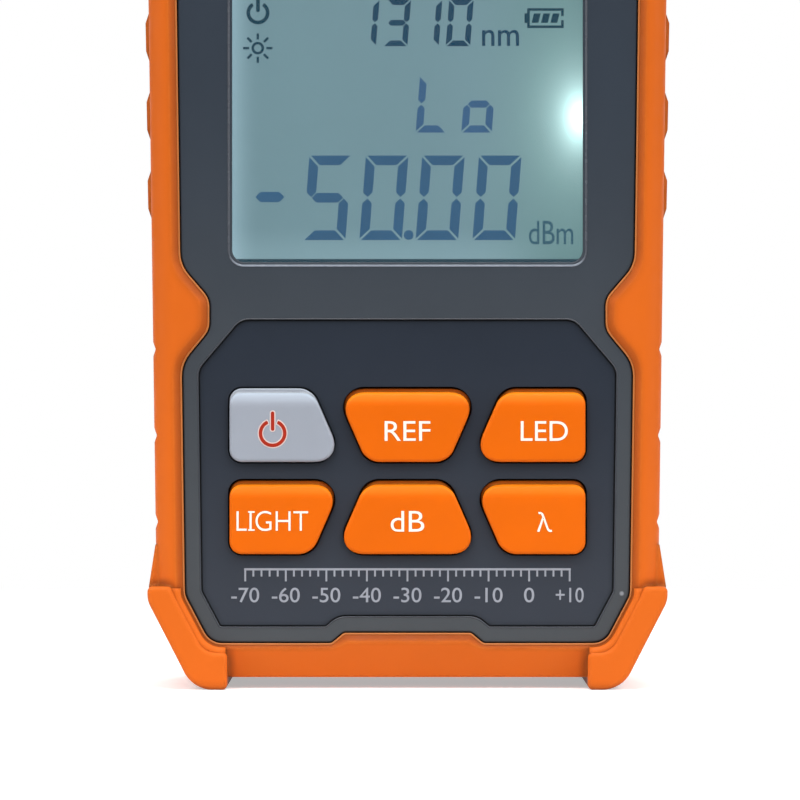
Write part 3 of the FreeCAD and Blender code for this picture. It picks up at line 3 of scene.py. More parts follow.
import bmesh
import bpy
from mathutils import Matrix, Vector


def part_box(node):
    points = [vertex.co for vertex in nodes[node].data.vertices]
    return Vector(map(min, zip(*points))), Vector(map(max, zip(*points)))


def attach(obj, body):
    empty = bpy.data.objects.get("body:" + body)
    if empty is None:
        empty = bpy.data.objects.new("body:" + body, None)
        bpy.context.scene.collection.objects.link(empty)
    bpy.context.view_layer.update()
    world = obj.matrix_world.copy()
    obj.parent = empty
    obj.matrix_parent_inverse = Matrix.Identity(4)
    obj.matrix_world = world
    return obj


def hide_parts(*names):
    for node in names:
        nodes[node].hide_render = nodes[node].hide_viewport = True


# A handheld optical power meter: a dark case in an orange rubber boot, with six keys and a
# lit display. X runs across the face, Z up the meter, and the face looks towards -Y.
# Lengths are in metres, and mm turns millimetres into them.

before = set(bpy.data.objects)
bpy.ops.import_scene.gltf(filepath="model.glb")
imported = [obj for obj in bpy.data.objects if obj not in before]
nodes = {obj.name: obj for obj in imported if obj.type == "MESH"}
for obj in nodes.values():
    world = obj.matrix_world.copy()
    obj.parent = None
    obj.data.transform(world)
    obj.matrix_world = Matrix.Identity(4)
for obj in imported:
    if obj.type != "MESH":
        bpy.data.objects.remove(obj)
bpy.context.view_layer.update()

HOUSING = "housing"


def mm(length):
    return length / 1000.0


def linear(code):
    """The linear colour of a six digit sRGB code."""
    channels = [int(code[i : i + 2], 16) / 255 for i in (0, 2, 4)]
    plain = [c / 12.92 if c <= 0.04045 else ((c + 0.055) / 1.055) ** 2.4 for c in channels]
    return (*plain, 1.0)


WHITE, BLACK = (1.0, 1.0, 1.0, 1.0), (0.0, 0.0, 0.0, 1.0)

# ---------- effects shared by materials


class Wiring:
    """Adds nodes to a tree and links them by name."""

    def __init__(self, tree):
        self.tree = tree

    def add(self, kind, settings=None, **links):
        node = self.tree.nodes.new(f"ShaderNode{kind}")
        for key, value in (settings or {}).items():
            setattr(node, key, value)
        for key, value in links.items():
            self.feed(node, key.replace("_", " "), value)
        return node

    def feed(self, node, key, value):
        socket = node.inputs[int(key)] if str(key).isdigit() else node.inputs[key]
        if isinstance(value, bpy.types.NodeSocket):
            self.tree.links.new(value, socket)
        else:
            socket.default_value = value

    def math(self, operation, first, second=0.0, clamp=False):
        node = self.add("Math", {"operation": operation, "use_clamp": clamp})
        self.feed(node, 0, first)
        self.feed(node, 1, second)
        return node.outputs[0]

    def times(self, first, *others, clamp=False):
        """The product of some values. Clamping holds it within nought and one."""
        *middle, last = others
        for factor in middle:
            first = self.math("MULTIPLY", first, factor)
        return self.math("MULTIPLY", first, last, clamp)

    def vector(self, operation, first, second=None):
        node = self.add("VectorMath", {"operation": operation})
        self.feed(node, 0, first)
        if second is not None:
            self.feed(node, 1, second)
        return node.outputs

    def axes(self, vector=None):
        """The three parts of a vector, or of the place on the piece."""
        whole = self.here() if vector is None else vector
        return self.add("SeparateXYZ", Vector=whole).outputs

    def give(self, sink, **values):
        """Links values to the outputs of a group."""
        for key, value in values.items():
            self.tree.links.new(value, sink[key])

    def span(self, value, low, high, to_low=0.0, to_high=1.0, smooth=False):
        node = self.add(
            "MapRange",
            {"clamp": True, "interpolation_type": "SMOOTHSTEP" if smooth else "LINEAR"},
            Value=value,
        )
        ends = {"From Min": low, "From Max": high, "To Min": to_low, "To Max": to_high}
        for key, number in ends.items():
            self.feed(node, key, number)
        return node.outputs[0]

    def mix(self, amount, first, second, blend="MIX"):
        node = self.add("Mix", {"data_type": "RGBA", "blend_type": blend})
        self.feed(node, 0, amount)
        self.feed(node, 6, first)
        self.feed(node, 7, second)
        return node.outputs[2]

    def here(self):
        return self.add("TexCoord").outputs["Object"]

    def noise(self, scale, detail, roughness):
        node = self.add("TexNoise", Scale=scale, Detail=detail, Roughness=roughness)
        self.feed(node, "Vector", self.here())
        return node.outputs[0]


def new_object(name, data):
    """An object in the scene, at the origin."""
    made = bpy.data.objects.new(name, data)
    bpy.context.scene.collection.objects.link(made)
    return made


def group_wiring(name, inputs, outputs):
    """A shader node group with named sockets: (name, type) or (name, type, default)."""
    group = bpy.data.node_groups.new(name, "ShaderNodeTree")
    for direction, sockets in (("INPUT", inputs), ("OUTPUT", outputs)):
        for socket_name, kind, *default in sockets:
            socket = group.interface.new_socket(
                name=socket_name, in_out=direction, socket_type=f"NodeSocket{kind}"
            )
            if default:
                socket.default_value = default[0]
    source = group.nodes.new("NodeGroupInput").outputs
    sink = group.nodes.new("NodeGroupOutput").inputs
    return Wiring(group), source, sink


def make_grain():
    """Fine moulded texture: a height for the bump and a mask for the roughness."""
    wiring, source, sink = group_wiring(
        "moulded_grain",
        [("Scale", "Float", 2500.0), ("Coarse Scale", "Float", 500.0)],
        [("Height", "Float"), ("Mask", "Float")],
    )
    fine = wiring.noise(source["Scale"], 3.0, 0.6)
    coarse = wiring.noise(source["Coarse Scale"], 2.0, 0.5)
    height = wiring.math("ADD", wiring.times(fine, 0.6), wiring.times(coarse, 0.4))
    wiring.give(sink, Height=height, Mask=wiring.span(coarse, 0.35, 0.65))
    return wiring.tree


def make_mottle():
    """Slow, soft variation of a colour over a piece."""
    wiring, source, sink = group_wiring(
        "soft_mottle",
        [("Colour", "Color"), ("Amount", "Float", 0.1), ("Scale", "Float", 60.0)],
        [("Colour", "Color")],
    )
    slow = wiring.span(wiring.noise(source["Scale"], 3.0, 0.55), 0.3, 0.7)
    amount = wiring.times(slow, source["Amount"])
    wiring.give(sink, Colour=wiring.mix(amount, source["Colour"], BLACK))
    return wiring.tree


def make_soft_edges():
    """Rounds the look of sharp edges, and marks them for scuffing and for painted highlights."""
    wiring, source, sink = group_wiring(
        "soft_edges",
        [("Radius", "Float", 0.0004)],
        [("Normal", "Vector"), ("Edge", "Float")],
    )
    bevel = wiring.add("Bevel", {"samples": 6}, Radius=source["Radius"])
    true = wiring.add("NewGeometry").outputs["Normal"]
    alike = wiring.vector("DOT_PRODUCT", bevel.outputs[0], true)["Value"]
    edge = wiring.span(wiring.math("SUBTRACT", 1.0, alike), 0.02, 0.2)
    wiring.give(sink, Normal=bevel.outputs[0], Edge=edge)
    return wiring.tree


def make_edge_wear():
    """Turns the edges to another colour, broken up by noise: scuffing on some finishes, and a
    painted highlight on others.
    """
    wiring, source, sink = group_wiring(
        "edge_wear_and_highlight",
        [
            ("Colour", "Color"),
            ("Worn Colour", "Color"),
            ("Edge", "Float"),
            ("Amount", "Float", 0.4),
        ],
        [("Colour", "Color")],
    )
    broken = wiring.span(wiring.noise(350.0, 4.0, 0.6), 0.35, 0.7, 0.35, 1.0)
    mask = wiring.times(source["Edge"], broken, source["Amount"], clamp=True)
    wiring.give(sink, Colour=wiring.mix(mask, source["Colour"], source["Worn Colour"]))
    return wiring.tree


def make_dust():
    """Small pale specks scattered over a dark surface."""
    wiring, source, sink = group_wiring(
        "dust_specks",
        [
            ("Colour", "Color"),
            ("Dust Colour", "Color"),
            ("Scale", "Float", 450.0),
            ("Amount", "Float", 0.5),
        ],
        [("Colour", "Color")],
    )
    cells = wiring.add("TexVoronoi", {"feature": "F1"}, Scale=source["Scale"], Randomness=1.0)
    wiring.feed(cells, "Vector", wiring.here())
    chosen = wiring.add("SeparateColor", Color=cells.outputs["Color"]).outputs[0]
    rare = wiring.span(chosen, 0.955, 0.975)
    speck = wiring.span(cells.outputs["Distance"], 0.06, 0.14, 1.0, 0.0)
    mask = wiring.times(rare, speck, source["Amount"], clamp=True)
    wiring.give(sink, Colour=wiring.mix(mask, source["Colour"], source["Dust Colour"]))
    return wiring.tree


def make_crevices():
    """Paints shade into a colour in gaps and under ledges, where ambient occlusion finds them
    closed in.
    """
    wiring, source, sink = group_wiring(
        "crevice_shade",
        [("Colour", "Color"), ("Reach", "Float", 0.002), ("Amount", "Float", 0.7)],
        [("Colour", "Color")],
    )
    around = wiring.add("AmbientOcclusion", {"samples": 6}, Distance=source["Reach"])
    closed = wiring.math("SUBTRACT", 1.0, wiring.math("POWER", around.outputs["AO"], 1.5))
    amount = wiring.times(closed, source["Amount"], clamp=True)
    wiring.give(sink, Colour=wiring.mix(amount, source["Colour"], BLACK))
    return wiring.tree


GRAIN, MOTTLE, SOFT_EDGES = make_grain(), make_mottle(), make_soft_edges()
EDGE_WEAR_AND_HIGHLIGHT, DUST, PAINTED_CREVICE_SHADE = make_edge_wear(), make_dust(), make_crevices()


def use_group(wiring, group, **links):
    """Places an effect with its own values. An underscore in a name stands for a space."""
    node = wiring.tree.nodes.new("ShaderNodeGroup")
    node.node_tree = group
    for key, value in links.items():
        wiring.feed(node, key.replace("_", " "), value)
    return node.outputs


# ---------- materials


def plain_material(name):
    """An empty material with a Principled shader, and its wiring."""
    material = bpy.data.materials.new(name)
    material.use_nodes = True
    wiring = Wiring(material.node_tree)
    return material, wiring, material.node_tree.nodes["Principled BSDF"]


BUMP_HEIGHT = mm(0.03)
ROUGH_SPREAD = 0.06


def finish(
    name,
    colour,
    roughness,
    metallic=0.0,
    grain=(2600.0, 520.0),
    bump=0.15,
    mottle=(0.08, 60.0),
    wear_and_highlight_colour=None,
    wear_and_highlight=0.3,
    soft=mm(0.3),
    dust=None,
    coat=0.0,
    gloss=0.5,
    painted_crevice_shade=None,
    shade=None,
):
    """A moulded, painted or metal finish with grain, soft edges and dust. Its edges can take
    another colour, which is scuffing on some finishes and a painted highlight on others; crevice
    darkening is painted shade, and a shade function can paint light, shade or print.
    """
    material, wiring, shader = plain_material(name)
    base = linear(colour)
    if shade:
        base = shade(wiring, base)
    base = use_group(wiring, MOTTLE, Colour=base, Amount=mottle[0], Scale=mottle[1])["Colour"]
    edges = use_group(wiring, SOFT_EDGES, Radius=soft)
    # Paler edges: wear, and on the keys, the case and the boot also a painted highlight.
    if wear_and_highlight_colour:
        base = use_group(
            wiring,
            EDGE_WEAR_AND_HIGHLIGHT,
            Colour=base,
            Worn_Colour=linear(wear_and_highlight_colour),
            Edge=edges["Edge"],
            Amount=wear_and_highlight,
        )["Colour"]
    if dust:
        speck, scale, amount = dust
        base = use_group(
            wiring, DUST, Colour=base, Dust_Colour=linear(speck), Scale=scale, Amount=amount
        )["Colour"]
    # Painted shade: the colour darkens towards black in gaps and under ledges.
    if painted_crevice_shade:
        reach, amount = painted_crevice_shade
        base = use_group(wiring, PAINTED_CREVICE_SHADE, Colour=base, Reach=reach, Amount=amount)["Colour"]
    texture = use_group(wiring, GRAIN, Scale=grain[0], Coarse_Scale=grain[1])
    bumped = wiring.add(
        "Bump",
        Strength=bump,
        Distance=BUMP_HEIGHT,
        Height=texture["Height"],
        Normal=edges["Normal"],
    )
    rough = wiring.span(
        texture["Mask"], 0.0, 1.0, roughness - ROUGH_SPREAD, roughness + ROUGH_SPREAD
    )
    wiring.feed(shader, "Base Color", base)
    wiring.feed(shader, "Roughness", rough)
    wiring.feed(shader, "Normal", bumped.outputs[0])
    shader.inputs["Metallic"].default_value = metallic
    shader.inputs["Coat Weight"].default_value = coat
    shader.inputs["Coat Roughness"].default_value = 0.25
    shader.inputs["Specular IOR Level"].default_value = gloss
    return material


def fade_up(low, high, low_colour, high_colour):
    """Shades a piece evenly from a lower height to a higher one."""

    def shade(wiring, base):
        raised = wiring.span(wiring.axes()[2], low, high, smooth=True)
        return wiring.mix(raised, linear(low_colour), linear(high_colour))

    return shade


BOOT_FRONT = mm(-15.5)
BOOT_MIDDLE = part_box("rubber_boot")[1].z / 2
RIM_SHADE = 0.55
RIM_SOFTNESS = mm(2.2)
LEVEL_RIM_SHADE = 2.0
WINDOW_LOW, WINDOW_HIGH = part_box("display_lens")
LENS_LAP = mm(2.2)


def inward_shade(wiring, base):
    """Darkens the boot's rim where it turns in towards the face."""
    bevel = wiring.add("Bevel", {"samples": 6}, Radius=RIM_SOFTNESS).outputs[0]
    tilt, place = wiring.axes(bevel), wiring.axes()
    from_middle = wiring.math("SUBTRACT", place[2], BOOT_MIDDLE)
    across = wiring.times(tilt[0], wiring.math("SIGN", place[0]))
    up = wiring.times(tilt[2], wiring.math("SIGN", from_middle), LEVEL_RIM_SHADE)
    inward = wiring.times(wiring.math("MINIMUM", across, up), -1.0)
    turned = wiring.span(inward, 0.04, 0.9)
    rim = wiring.span(place[1], BOOT_FRONT - mm(0.2), BOOT_FRONT - mm(0.05))
    amount = wiring.times(turned, rim, RIM_SHADE)
    return wiring.mix(amount, base, BLACK)


def top_glow(colour):
    """Paints a highlight on a piece where its front curves back towards its top, as though lit from
    above.
    """

    def shade(wiring, base):
        true = wiring.add("NewGeometry").outputs["Normal"]
        return wiring.mix(wiring.span(wiring.axes(true)[2], 0.2, 0.8), base, linear(colour))

    return shade


MATERIALS = {}

CASE_GRAIN = (3000.0, 700.0)
KEY_GRAIN = (3600.0, 600.0)
BOOT_GRAIN = (3200.0, 420.0)
THIN = mm(0.05)

# key: name, colour, roughness, mottle
PRINTS = {
    "print": ("white_key_print", "faf3e4", 0.5, 0.04),
    "scale_print": ("grey_panel_print", "9a9ea8", 0.5, 0.12),
    "red_print": ("red_key_print", "a82a12", 0.45, 0.1),
    "halo": ("pale_key_print", "e2cfca", 0.5, 0.05),
}
# key: name, colour
INKS = {
    "segment": ("display_segments", "2d597b"),
    "mid_segment": ("middle_display_segments", "335b80"),
    "small_segment": ("small_display_segments", "143f58"),
    "icon": ("display_icons", "0a3a4c"),
    "faint_segment": ("faint_display_marks", "345d6e"),
}
# key: name, colour, index of refraction, roughness
CLEAR = {
    "acrylic": ("light_guide_acrylic", "e9f4f2", 1.49, 0.12),
    "lens": ("clear_window_acrylic", "fdfefe", 1.2, 0.02),
    "torch_lens": ("clear_torch_lens", "fbfdff", 1.49, 0.05),
    "diode": ("diode_resin", "f7f3d4", 1.5, 0.1),
}


def outer_materials(looks):
    """The case, the boot, the keys, the cap and the end panel."""
    # The boot's paler edges are partly wear and partly a painted highlight; the inward darkening of
    # its rim and the darkening in its gaps are painted shade.
    looks["boot"] = finish(
        "soft_touch_orange_rubber",
        "da6617",
        0.5,
        grain=BOOT_GRAIN,
        bump=0.2,
        mottle=(0.06, 45.0),
        wear_and_highlight_colour="ff9238",
        wear_and_highlight=0.55,
        soft=mm(1.0),
        gloss=0.15,
        painted_crevice_shade=(mm(1.6), 0.45),
        shade=inward_shade,
    )
    # The lip is paler and more golden than the boot: a painted highlight along its edge.
    looks["boot_lip"] = finish(
        "orange_lip_painted_highlight",
        "bf7136",
        0.4,
        grain=BOOT_GRAIN,
        mottle=(0.1, 90.0),
        soft=THIN,
        gloss=0.3,
    )
    # The case is paler towards its bottom: painted light. Its paler edges are partly wear and
    # partly a painted highlight, and the darkening in its gaps is painted shade.
    looks["case"] = finish(
        "matte_charcoal_plastic",
        "313945",
        0.45,
        grain=CASE_GRAIN,
        bump=0.25,
        wear_and_highlight_colour="8a8f98",
        wear_and_highlight=0.6,
        dust=("b9bec6", 330.0, 0.45),
        gloss=0.2,
        painted_crevice_shade=(mm(1.2), 0.9),
        shade=fade_up(mm(6), mm(104), "45494d", "2b343f"),
    )
    edge = {"grain": CASE_GRAIN, "mottle": (0.12, 90.0), "soft": THIN, "gloss": 0.5}
    looks["case_edge"] = finish("worn_charcoal_edge", "2e333c", 0.2, **edge)
    # The window's bead is paler along its bottom: a painted highlight where it faces up to the
    # lamps.
    lit, unlit = WINDOW_LOW.z + mm(1.0), WINDOW_LOW.z + mm(3.5)
    fade = fade_up(lit, unlit, "8e98a6", "3d434d")
    looks["window_edge"] = finish("window_edge_painted_highlight", "3d434d", 0.25, shade=fade, **edge)
    # The film is paler towards its bottom: painted light. Its darkening in gaps is painted shade.
    looks["overlay"] = finish(
        "printed_overlay_film",
        "2c323d",
        0.4,
        grain=(4200.0, 900.0),
        bump=0.12,
        wear_and_highlight_colour="565b64",
        wear_and_highlight=0.3,
        dust=("b9bec6", 300.0, 0.5),
        soft=mm(0.12),
        gloss=0.15,
        painted_crevice_shade=(mm(1.0), 0.8),
        shade=fade_up(mm(12), mm(56), "343942", "232a35"),
    )
    # The keys' paler tops and paler edges are painted highlights, and the darkening in their gaps
    # is painted shade.
    looks["key"] = finish(
        "moulded_orange_key",
        "e26606",
        0.4,
        grain=KEY_GRAIN,
        bump=0.1,
        mottle=(0.05, 80.0),
        wear_and_highlight_colour="ffa632",
        wear_and_highlight=0.8,
        soft=mm(0.45),
        gloss=0.1,
        painted_crevice_shade=(mm(1.4), 0.9),
        shade=top_glow("fb8310"),
    )
    # The grey key has the same painted highlights on its top and edges, and painted shade in its
    # gaps.
    looks["power_key"] = finish(
        "moulded_grey_key",
        "9aa0ab",
        0.38,
        grain=KEY_GRAIN,
        bump=0.1,
        mottle=(0.05, 90.0),
        wear_and_highlight_colour="dde3ea",
        wear_and_highlight=0.7,
        soft=mm(0.45),
        gloss=0.2,
        painted_crevice_shade=(mm(1.4), 0.8),
        shade=top_glow("aebac8"),
    )
    looks["cap_rubber"] = finish(
        "black_cap_rubber",
        "24262a",
        0.6,
        grain=(2800.0, 350.0),
        bump=0.3,
        wear_and_highlight_colour="4a4d52",
        gloss=0.3,
    )
    # The darkening in the end panel's gaps is painted shade.
    looks["dark_plastic"] = finish(
        "dark_end_plastic",
        "2e333c",
        0.42,
        wear_and_highlight_colour="5b6068",
        wear_and_highlight=0.6,
        gloss=0.25,
        painted_crevice_shade=(mm(1.5), 0.8),
    )


def inner_materials(looks):
    """The metal parts, and what the case holds."""
    fine = 300.0
    looks["white_plastic"] = finish("white_frame_plastic", "e4e5e2", 0.45, mottle=(0.05, 80.0))
    looks["board"] = finish("green_circuit_board", "1f5a38", 0.35, mottle=(0.25, fine), coat=0.3)
    looks["black_plastic"] = finish("black_switch_plastic", "17181a", 0.4, gloss=0.3)
    looks["strip"] = finish("pale_contact_rubber", "cfa9a0", 0.6)
    looks["ceramic"] = finish("white_sleeve_ceramic", "efece4", 0.2, mottle=(0.04, fine), soft=THIN)
    looks["steel"] = finish(
        "zinc_plated_steel",
        "b4b6ba",
        0.3,
        1.0,
        grain=(1800.0, 300.0),
        mottle=(0.15, 400.0),
        wear_and_highlight_colour="e2e3e5",
    )
    looks["spring_steel"] = finish("nickel_spring_steel", "c3c0b6", 0.26, 1.0, mottle=(0.15, fine))
    looks["nickel"] = finish(
        "nickel_plated_brass",
        "c6c2b8",
        0.2,
        1.0,
        grain=(2200.0, 500.0),
        mottle=(0.1, fine),
        wear_and_highlight_colour="efe9dc",
    )
    bands = fade_up(mm(60), mm(60.3), "24272c", "b98a3c")
    looks["sleeve"] = finish("printed_cell_sleeve", "24272c", 0.3, coat=0.5, shade=bands)


def make_materials():
    outer_materials(MATERIALS)
    inner_materials(MATERIALS)
    for key, (name, colour, roughness, mottle) in PRINTS.items():
        MATERIALS[key] = finish(
            name, colour, roughness, mottle=(mottle, 300.0), soft=mm(0.02), gloss=0.2
        )
    for key, look in CLEAR.items():
        MATERIALS[key] = clear_finish(*look)
    for key, look in INKS.items():
        MATERIALS[key] = ink_finish(*look)
    MATERIALS["display"] = display_finish()


def clear_finish(name, colour, ior, roughness):
    """Clear moulded plastic, with a trace of unevenness in its surface."""
    material, wiring, shader = plain_material(name)
    ripple = use_group(wiring, GRAIN, Scale=900.0, Coarse_Scale=120.0)
    bumped = wiring.add("Bump", Strength=0.02, Distance=mm(0.01), Height=ripple["Height"])
    shader.inputs["Base Color"].default_value = linear(colour)
    shader.inputs["Transmission Weight"].default_value = 1.0
    shader.inputs["IOR"].default_value = ior
    shader.inputs["Roughness"].default_value = roughness
    wiring.feed(shader, "Normal", bumped.outputs[0])
    return material


DISPLAY_GLOW = 0.9
UNLIT_SHARE = (0.12, 0.12, 0.12, 1.0)


def lit_from_behind(wiring, shader, colour, roughness):
    """Makes a colour shine, and keeps little of it for light from the front."""
    wiring.feed(shader, "Base Color", wiring.mix(1.0, colour, UNLIT_SHARE, "MULTIPLY"))
    wiring.feed(shader, "Emission Color", colour)
    shader.inputs["Emission Strength"].default_value = DISPLAY_GLOW
    shader.inputs["Specular IOR Level"].default_value = 0.1
    shader.inputs["Roughness"].default_value = roughness


SPOT_SIDE, SPOT_UP = mm(0.3), mm(22.7)
SPOT_FLATTENING = (1.0, 0.0, 0.65)
SPOT_CORE, SPOT_REACH = mm(2.0), mm(2.85)
SPOT_COLOUR = (1.4, 2.0, 1.95, 1.0)
SIDE_GLOW_COLOUR = (0.115, 0.155, 0.185, 1.0)
LOW_GLOW_COLOUR = (0.06, 0.08, 0.09, 1.0)


def lamp_spot(wiring, lamp):
    """The lamp behind the display fades with the square of the distance from it."""
    offset = wiring.vector("SUBTRACT", wiring.here(), lamp)[0]
    flat = wiring.vector("MULTIPLY", offset, SPOT_FLATTENING)[0]
    squared = wiring.vector("DOT_PRODUCT", flat, flat)["Value"]
    spread = wiring.math("ADD", squared, SPOT_CORE * SPOT_CORE)
    spot = wiring.math("DIVIDE", SPOT_REACH * SPOT_REACH, spread)
    return wiring.times(wiring.math("SUBTRACT", spot, 0.012), 0.5, clamp=True)


def display_finish():
    """The lit display: a grey green field, paler at its rim, with its lamp at the right."""
    material, wiring, shader = plain_material("lit_display_glass")
    left, right = WINDOW_LOW.x + LENS_LAP, WINDOW_HIGH.x - LENS_LAP
    bottom = WINDOW_LOW.z + LENS_LAP
    across, _, up = wiring.axes()
    fade = wiring.span(across, mm(8), mm(25), smooth=True)
    colour = wiring.mix(fade, linear("6e8e97"), linear("628689"))
    colour = use_group(wiring, MOTTLE, Colour=colour, Amount=0.05, Scale=40.0)["Colour"]
    from_left = wiring.span(across, left, left + mm(4.5), 1.0, 0.0)
    from_left = wiring.times(from_left, from_left)
    colour = wiring.mix(from_left, colour, SIDE_GLOW_COLOUR, "ADD")
    from_low = wiring.span(up, bottom, bottom + mm(5.5), 1.0, 0.0)
    from_low = wiring.times(from_low, wiring.span(across, mm(14), mm(24), 1.0, 0.0))
    colour = wiring.mix(from_low, colour, LOW_GLOW_COLOUR, "ADD")
    spot = lamp_spot(wiring, Vector((right - SPOT_SIDE, 0.0, bottom + SPOT_UP)))
    colour = wiring.mix(spot, colour, SPOT_COLOUR, "ADD")
    border = wiring.span(up, bottom + mm(0.5), bottom + mm(0.65), 1.0, 0.0)
    colour = wiring.mix(border, colour, linear("23404d"))
    texture = use_group(wiring, GRAIN, Scale=4000.0, Coarse_Scale=900.0)
    bumped = wiring.add("Bump", Strength=0.05, Distance=mm(0.01), Height=texture["Height"])
    wiring.feed(shader, "Normal", bumped.outputs[0])
    lit_from_behind(wiring, shader, colour, 0.3)
    return material


def ink_finish(name, colour):
    """Dark display marks, lit from behind by the display's lamp."""
    material, wiring, shader = plain_material(name)
    base = use_group(wiring, MOTTLE, Colour=linear(colour), Amount=0.1, Scale=120.0)["Colour"]
    lit_from_behind(wiring, shader, base, 0.4)
    return material


NODE_FINISH = {
    "boot": ["rubber_boot"],
    "case": ["front_cover", "rear_cover", "battery_door"],
    "overlay": ["keypad_overlay"],
    "power_key": ["power_key"],
    "lens": ["display_lens"],
    "display": ["display_glass"],
    "acrylic": ["light_guide"],
    "strip": ["contact_strip"],
    "white_plastic": ["display_frame"],
    "board": ["main_board", "port_board"],
    "steel": ["case_screws", "board_screws", "adapter_screws"],
    "spring_steel": ["low_contacts", "high_contacts"],
    "sleeve": ["battery_cell_left", "battery_cell_middle", "battery_cell_right"],
    "dark_plastic": ["end_panel"],
    "nickel": ["fibre_adapter", "light_detector", "torch_ring", "torch_reflector"],
    "torch_lens": ["torch_lens"],
    "diode": ["torch_diode"],
    "cap_rubber": ["dust_cap"],
    "black_plastic": ["key_switches"],
}


def dress_nodes():
    """Gives each node its finish. Plungers are black, and the other keys are orange."""
    choices = {name: look for look, names in NODE_FINISH.items() for name in names}
    for name, node in nodes.items():
        other = "black_plastic" if name.endswith("_plunger") else "key"
        for slot in node.material_slots:
            slot.material = MATERIALS[choices.get(name, other)]


# ---------- making pieces


def finish_piece(name, bm, material, body, smooth=False):
    """Turns a bmesh into a piece of the scene that rides on a body."""
    bmesh.ops.recalc_face_normals(bm, faces=bm.faces)
    for face in bm.faces:
        face.smooth = smooth
    mesh = bpy.data.meshes.new(name)
    bm.to_mesh(mesh)
    bm.free()
    mesh.materials.append(MATERIALS[material])
    piece = new_object(name, mesh)
    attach(piece, body)
    return piece


FACE_ON = Matrix.Rotation(math.radians(90), 4, "X")


def shift(bm, across, deep, up):
    """Moves a whole bmesh."""
    bmesh.ops.translate(bm, vec=(across, deep, up), verts=bm.verts)


def everything(bm):
    """All that an operator can take from a bmesh."""
    return bm.verts[:] + bm.edges[:] + bm.faces[:]


def bisect(bm, point, direction, near, **more):
    """Cuts a bmesh along a plane, which takes in the points that are near it."""
    bmesh.ops.bisect_plane(
        bm, geom=everything(bm), plane_co=point, plane_no=direction, dist=near, **more
    )


def cut_away(bm, point, direction):
    """Removes what lies past a plane."""
    bisect(bm, point, direction, 1e-9, clear_outer=True)


def stand_up(bm, across, front, up):
    """Stands flat work drawn in X and Y up against a front, at a place on it."""
    bmesh.ops.transform(bm, matrix=FACE_ON, verts=bm.verts)
    shift(bm, across, front, up)


def thicken(bm, thickness):
    """Gives flat faces a thickness, from the plane they lie in towards +Z."""
    made = bmesh.ops.extrude_face_region(bm, geom=bm.faces[:])
    moved = [item for item in made["geom"] if isinstance(item, bmesh.types.BMVert)]
    bmesh.ops.translate(bm, vec=(0, 0, thickness), verts=moved)


def join(bm, part, matrix=None):
    """Adds a part to a bmesh, moved by a matrix, and frees the part."""
    if matrix is not None:
        bmesh.ops.transform(part, matrix=matrix, verts=part.verts)
    mesh = bpy.data.meshes.new("part")
    part.to_mesh(mesh)
    part.free()
    bm.from_mesh(mesh)
    bpy.data.meshes.remove(mesh)


def at(across, up):
    return Matrix.Translation((across, up, 0))


def soften(bm, geom, offset, segments, affect="VERTICES"):
    """Rounds some corners off, or some edges."""
    bmesh.ops.bevel(
        bm,
        geom=geom,
        offset=offset,
        offset_type="OFFSET",
        segments=segments,
        profile=0.5,
        affect=affect,
        material=-1,
    )


def bar(width, height, rounding=0.0, segments=6):
    """A flat bar about the origin, with rounded corners."""
    bm = bmesh.new()
    bmesh.ops.create_grid(bm, x_segments=1, y_segments=1, size=0.5)
    bmesh.ops.scale(bm, vec=(width, height, 1), verts=bm.verts)
    if rounding:
        for vert in bm.verts[:]:
            soften(bm, [vert], rounding, segments)
    return bm


def box_corners(low, high, radius):
    """The rounded corners of an upright rectangle, for an outline."""
    places = (low, (high[0], low[1]), high, (low[0], high[1]))
    return [(across, up, radius) for across, up in places]


def outline_face(corners):
    """A flat face with rounded corners, each given as (across, up, radius)."""
    bm = bmesh.new()
    verts = [bm.verts.new((across, up, 0)) for across, up, _ in corners]
    bm.faces.new(verts)
    places = [vert.co.copy() for vert in verts]
    for i, vert in enumerate(verts):
        back, ahead = places[i - 1] - places[i], places[(i + 1) % len(places)] - places[i]
        soften(bm, [vert], corners[i][2] / math.tan(back.angle(ahead) / 2), 8)
    return bm


def block(corners, back, front, edge=0.0, segments=4):
    """A flat block with rounded corners and a rounded front edge."""
    bm = outline_face(corners)
    shift(bm, 0, 0, back)
    thicken(bm, front - back)
    if edge:
        rim = [e for e in bm.edges if all(abs(v.co.z - front) < mm(0.001) for v in e.verts)]
        soften(bm, rim, edge, segments, "EDGES")
    return bm


def turn_round(bm, geom, angle, steps, **more):
    """Spins some geometry about the upright axis."""
    bmesh.ops.spin(
        bm, geom=geom, cent=(0, 0, 0), axis=(0, 0, 1), angle=angle, steps=steps, **more
    )


def ring_arc(radius, stroke, opening=0.0, steps=64):
    """A flat ring, or one with rounded ends and an opening at its top. Opening is an angle."""
    bm = bmesh.new()
    top = math.pi / 2 + opening / 2
    out = Vector((math.cos(top), math.sin(top), 0))
    ends = [bm.verts.new(out * radius), bm.verts.new(out * (radius - stroke))]
    edge = bm.edges.new(ends)
    turn_round(bm, [*ends, edge], math.tau - opening, steps, use_merge=not opening)
    if opening:
        for vert in [v for v in bm.verts if len(v.link_edges) == 2]:
            soften(bm, [vert], stroke / 2, 4)
    return bm


PRINT = mm(0.03)


def curve_bmesh(curve, merge):
    """Turns a curve into a bmesh, with points closer than merge joined."""
    helper = new_object(curve.name, curve)
    bpy.context.view_layer.update()
    mesh = bpy.data.meshes.new_from_object(helper)
    bpy.data.objects.remove(helper)
    bpy.data.curves.remove(curve)
    bm = bmesh.new()
    bm.from_mesh(mesh)
    bpy.data.meshes.remove(mesh)
    bmesh.ops.remove_doubles(bm, verts=bm.verts, dist=merge)
    return bm


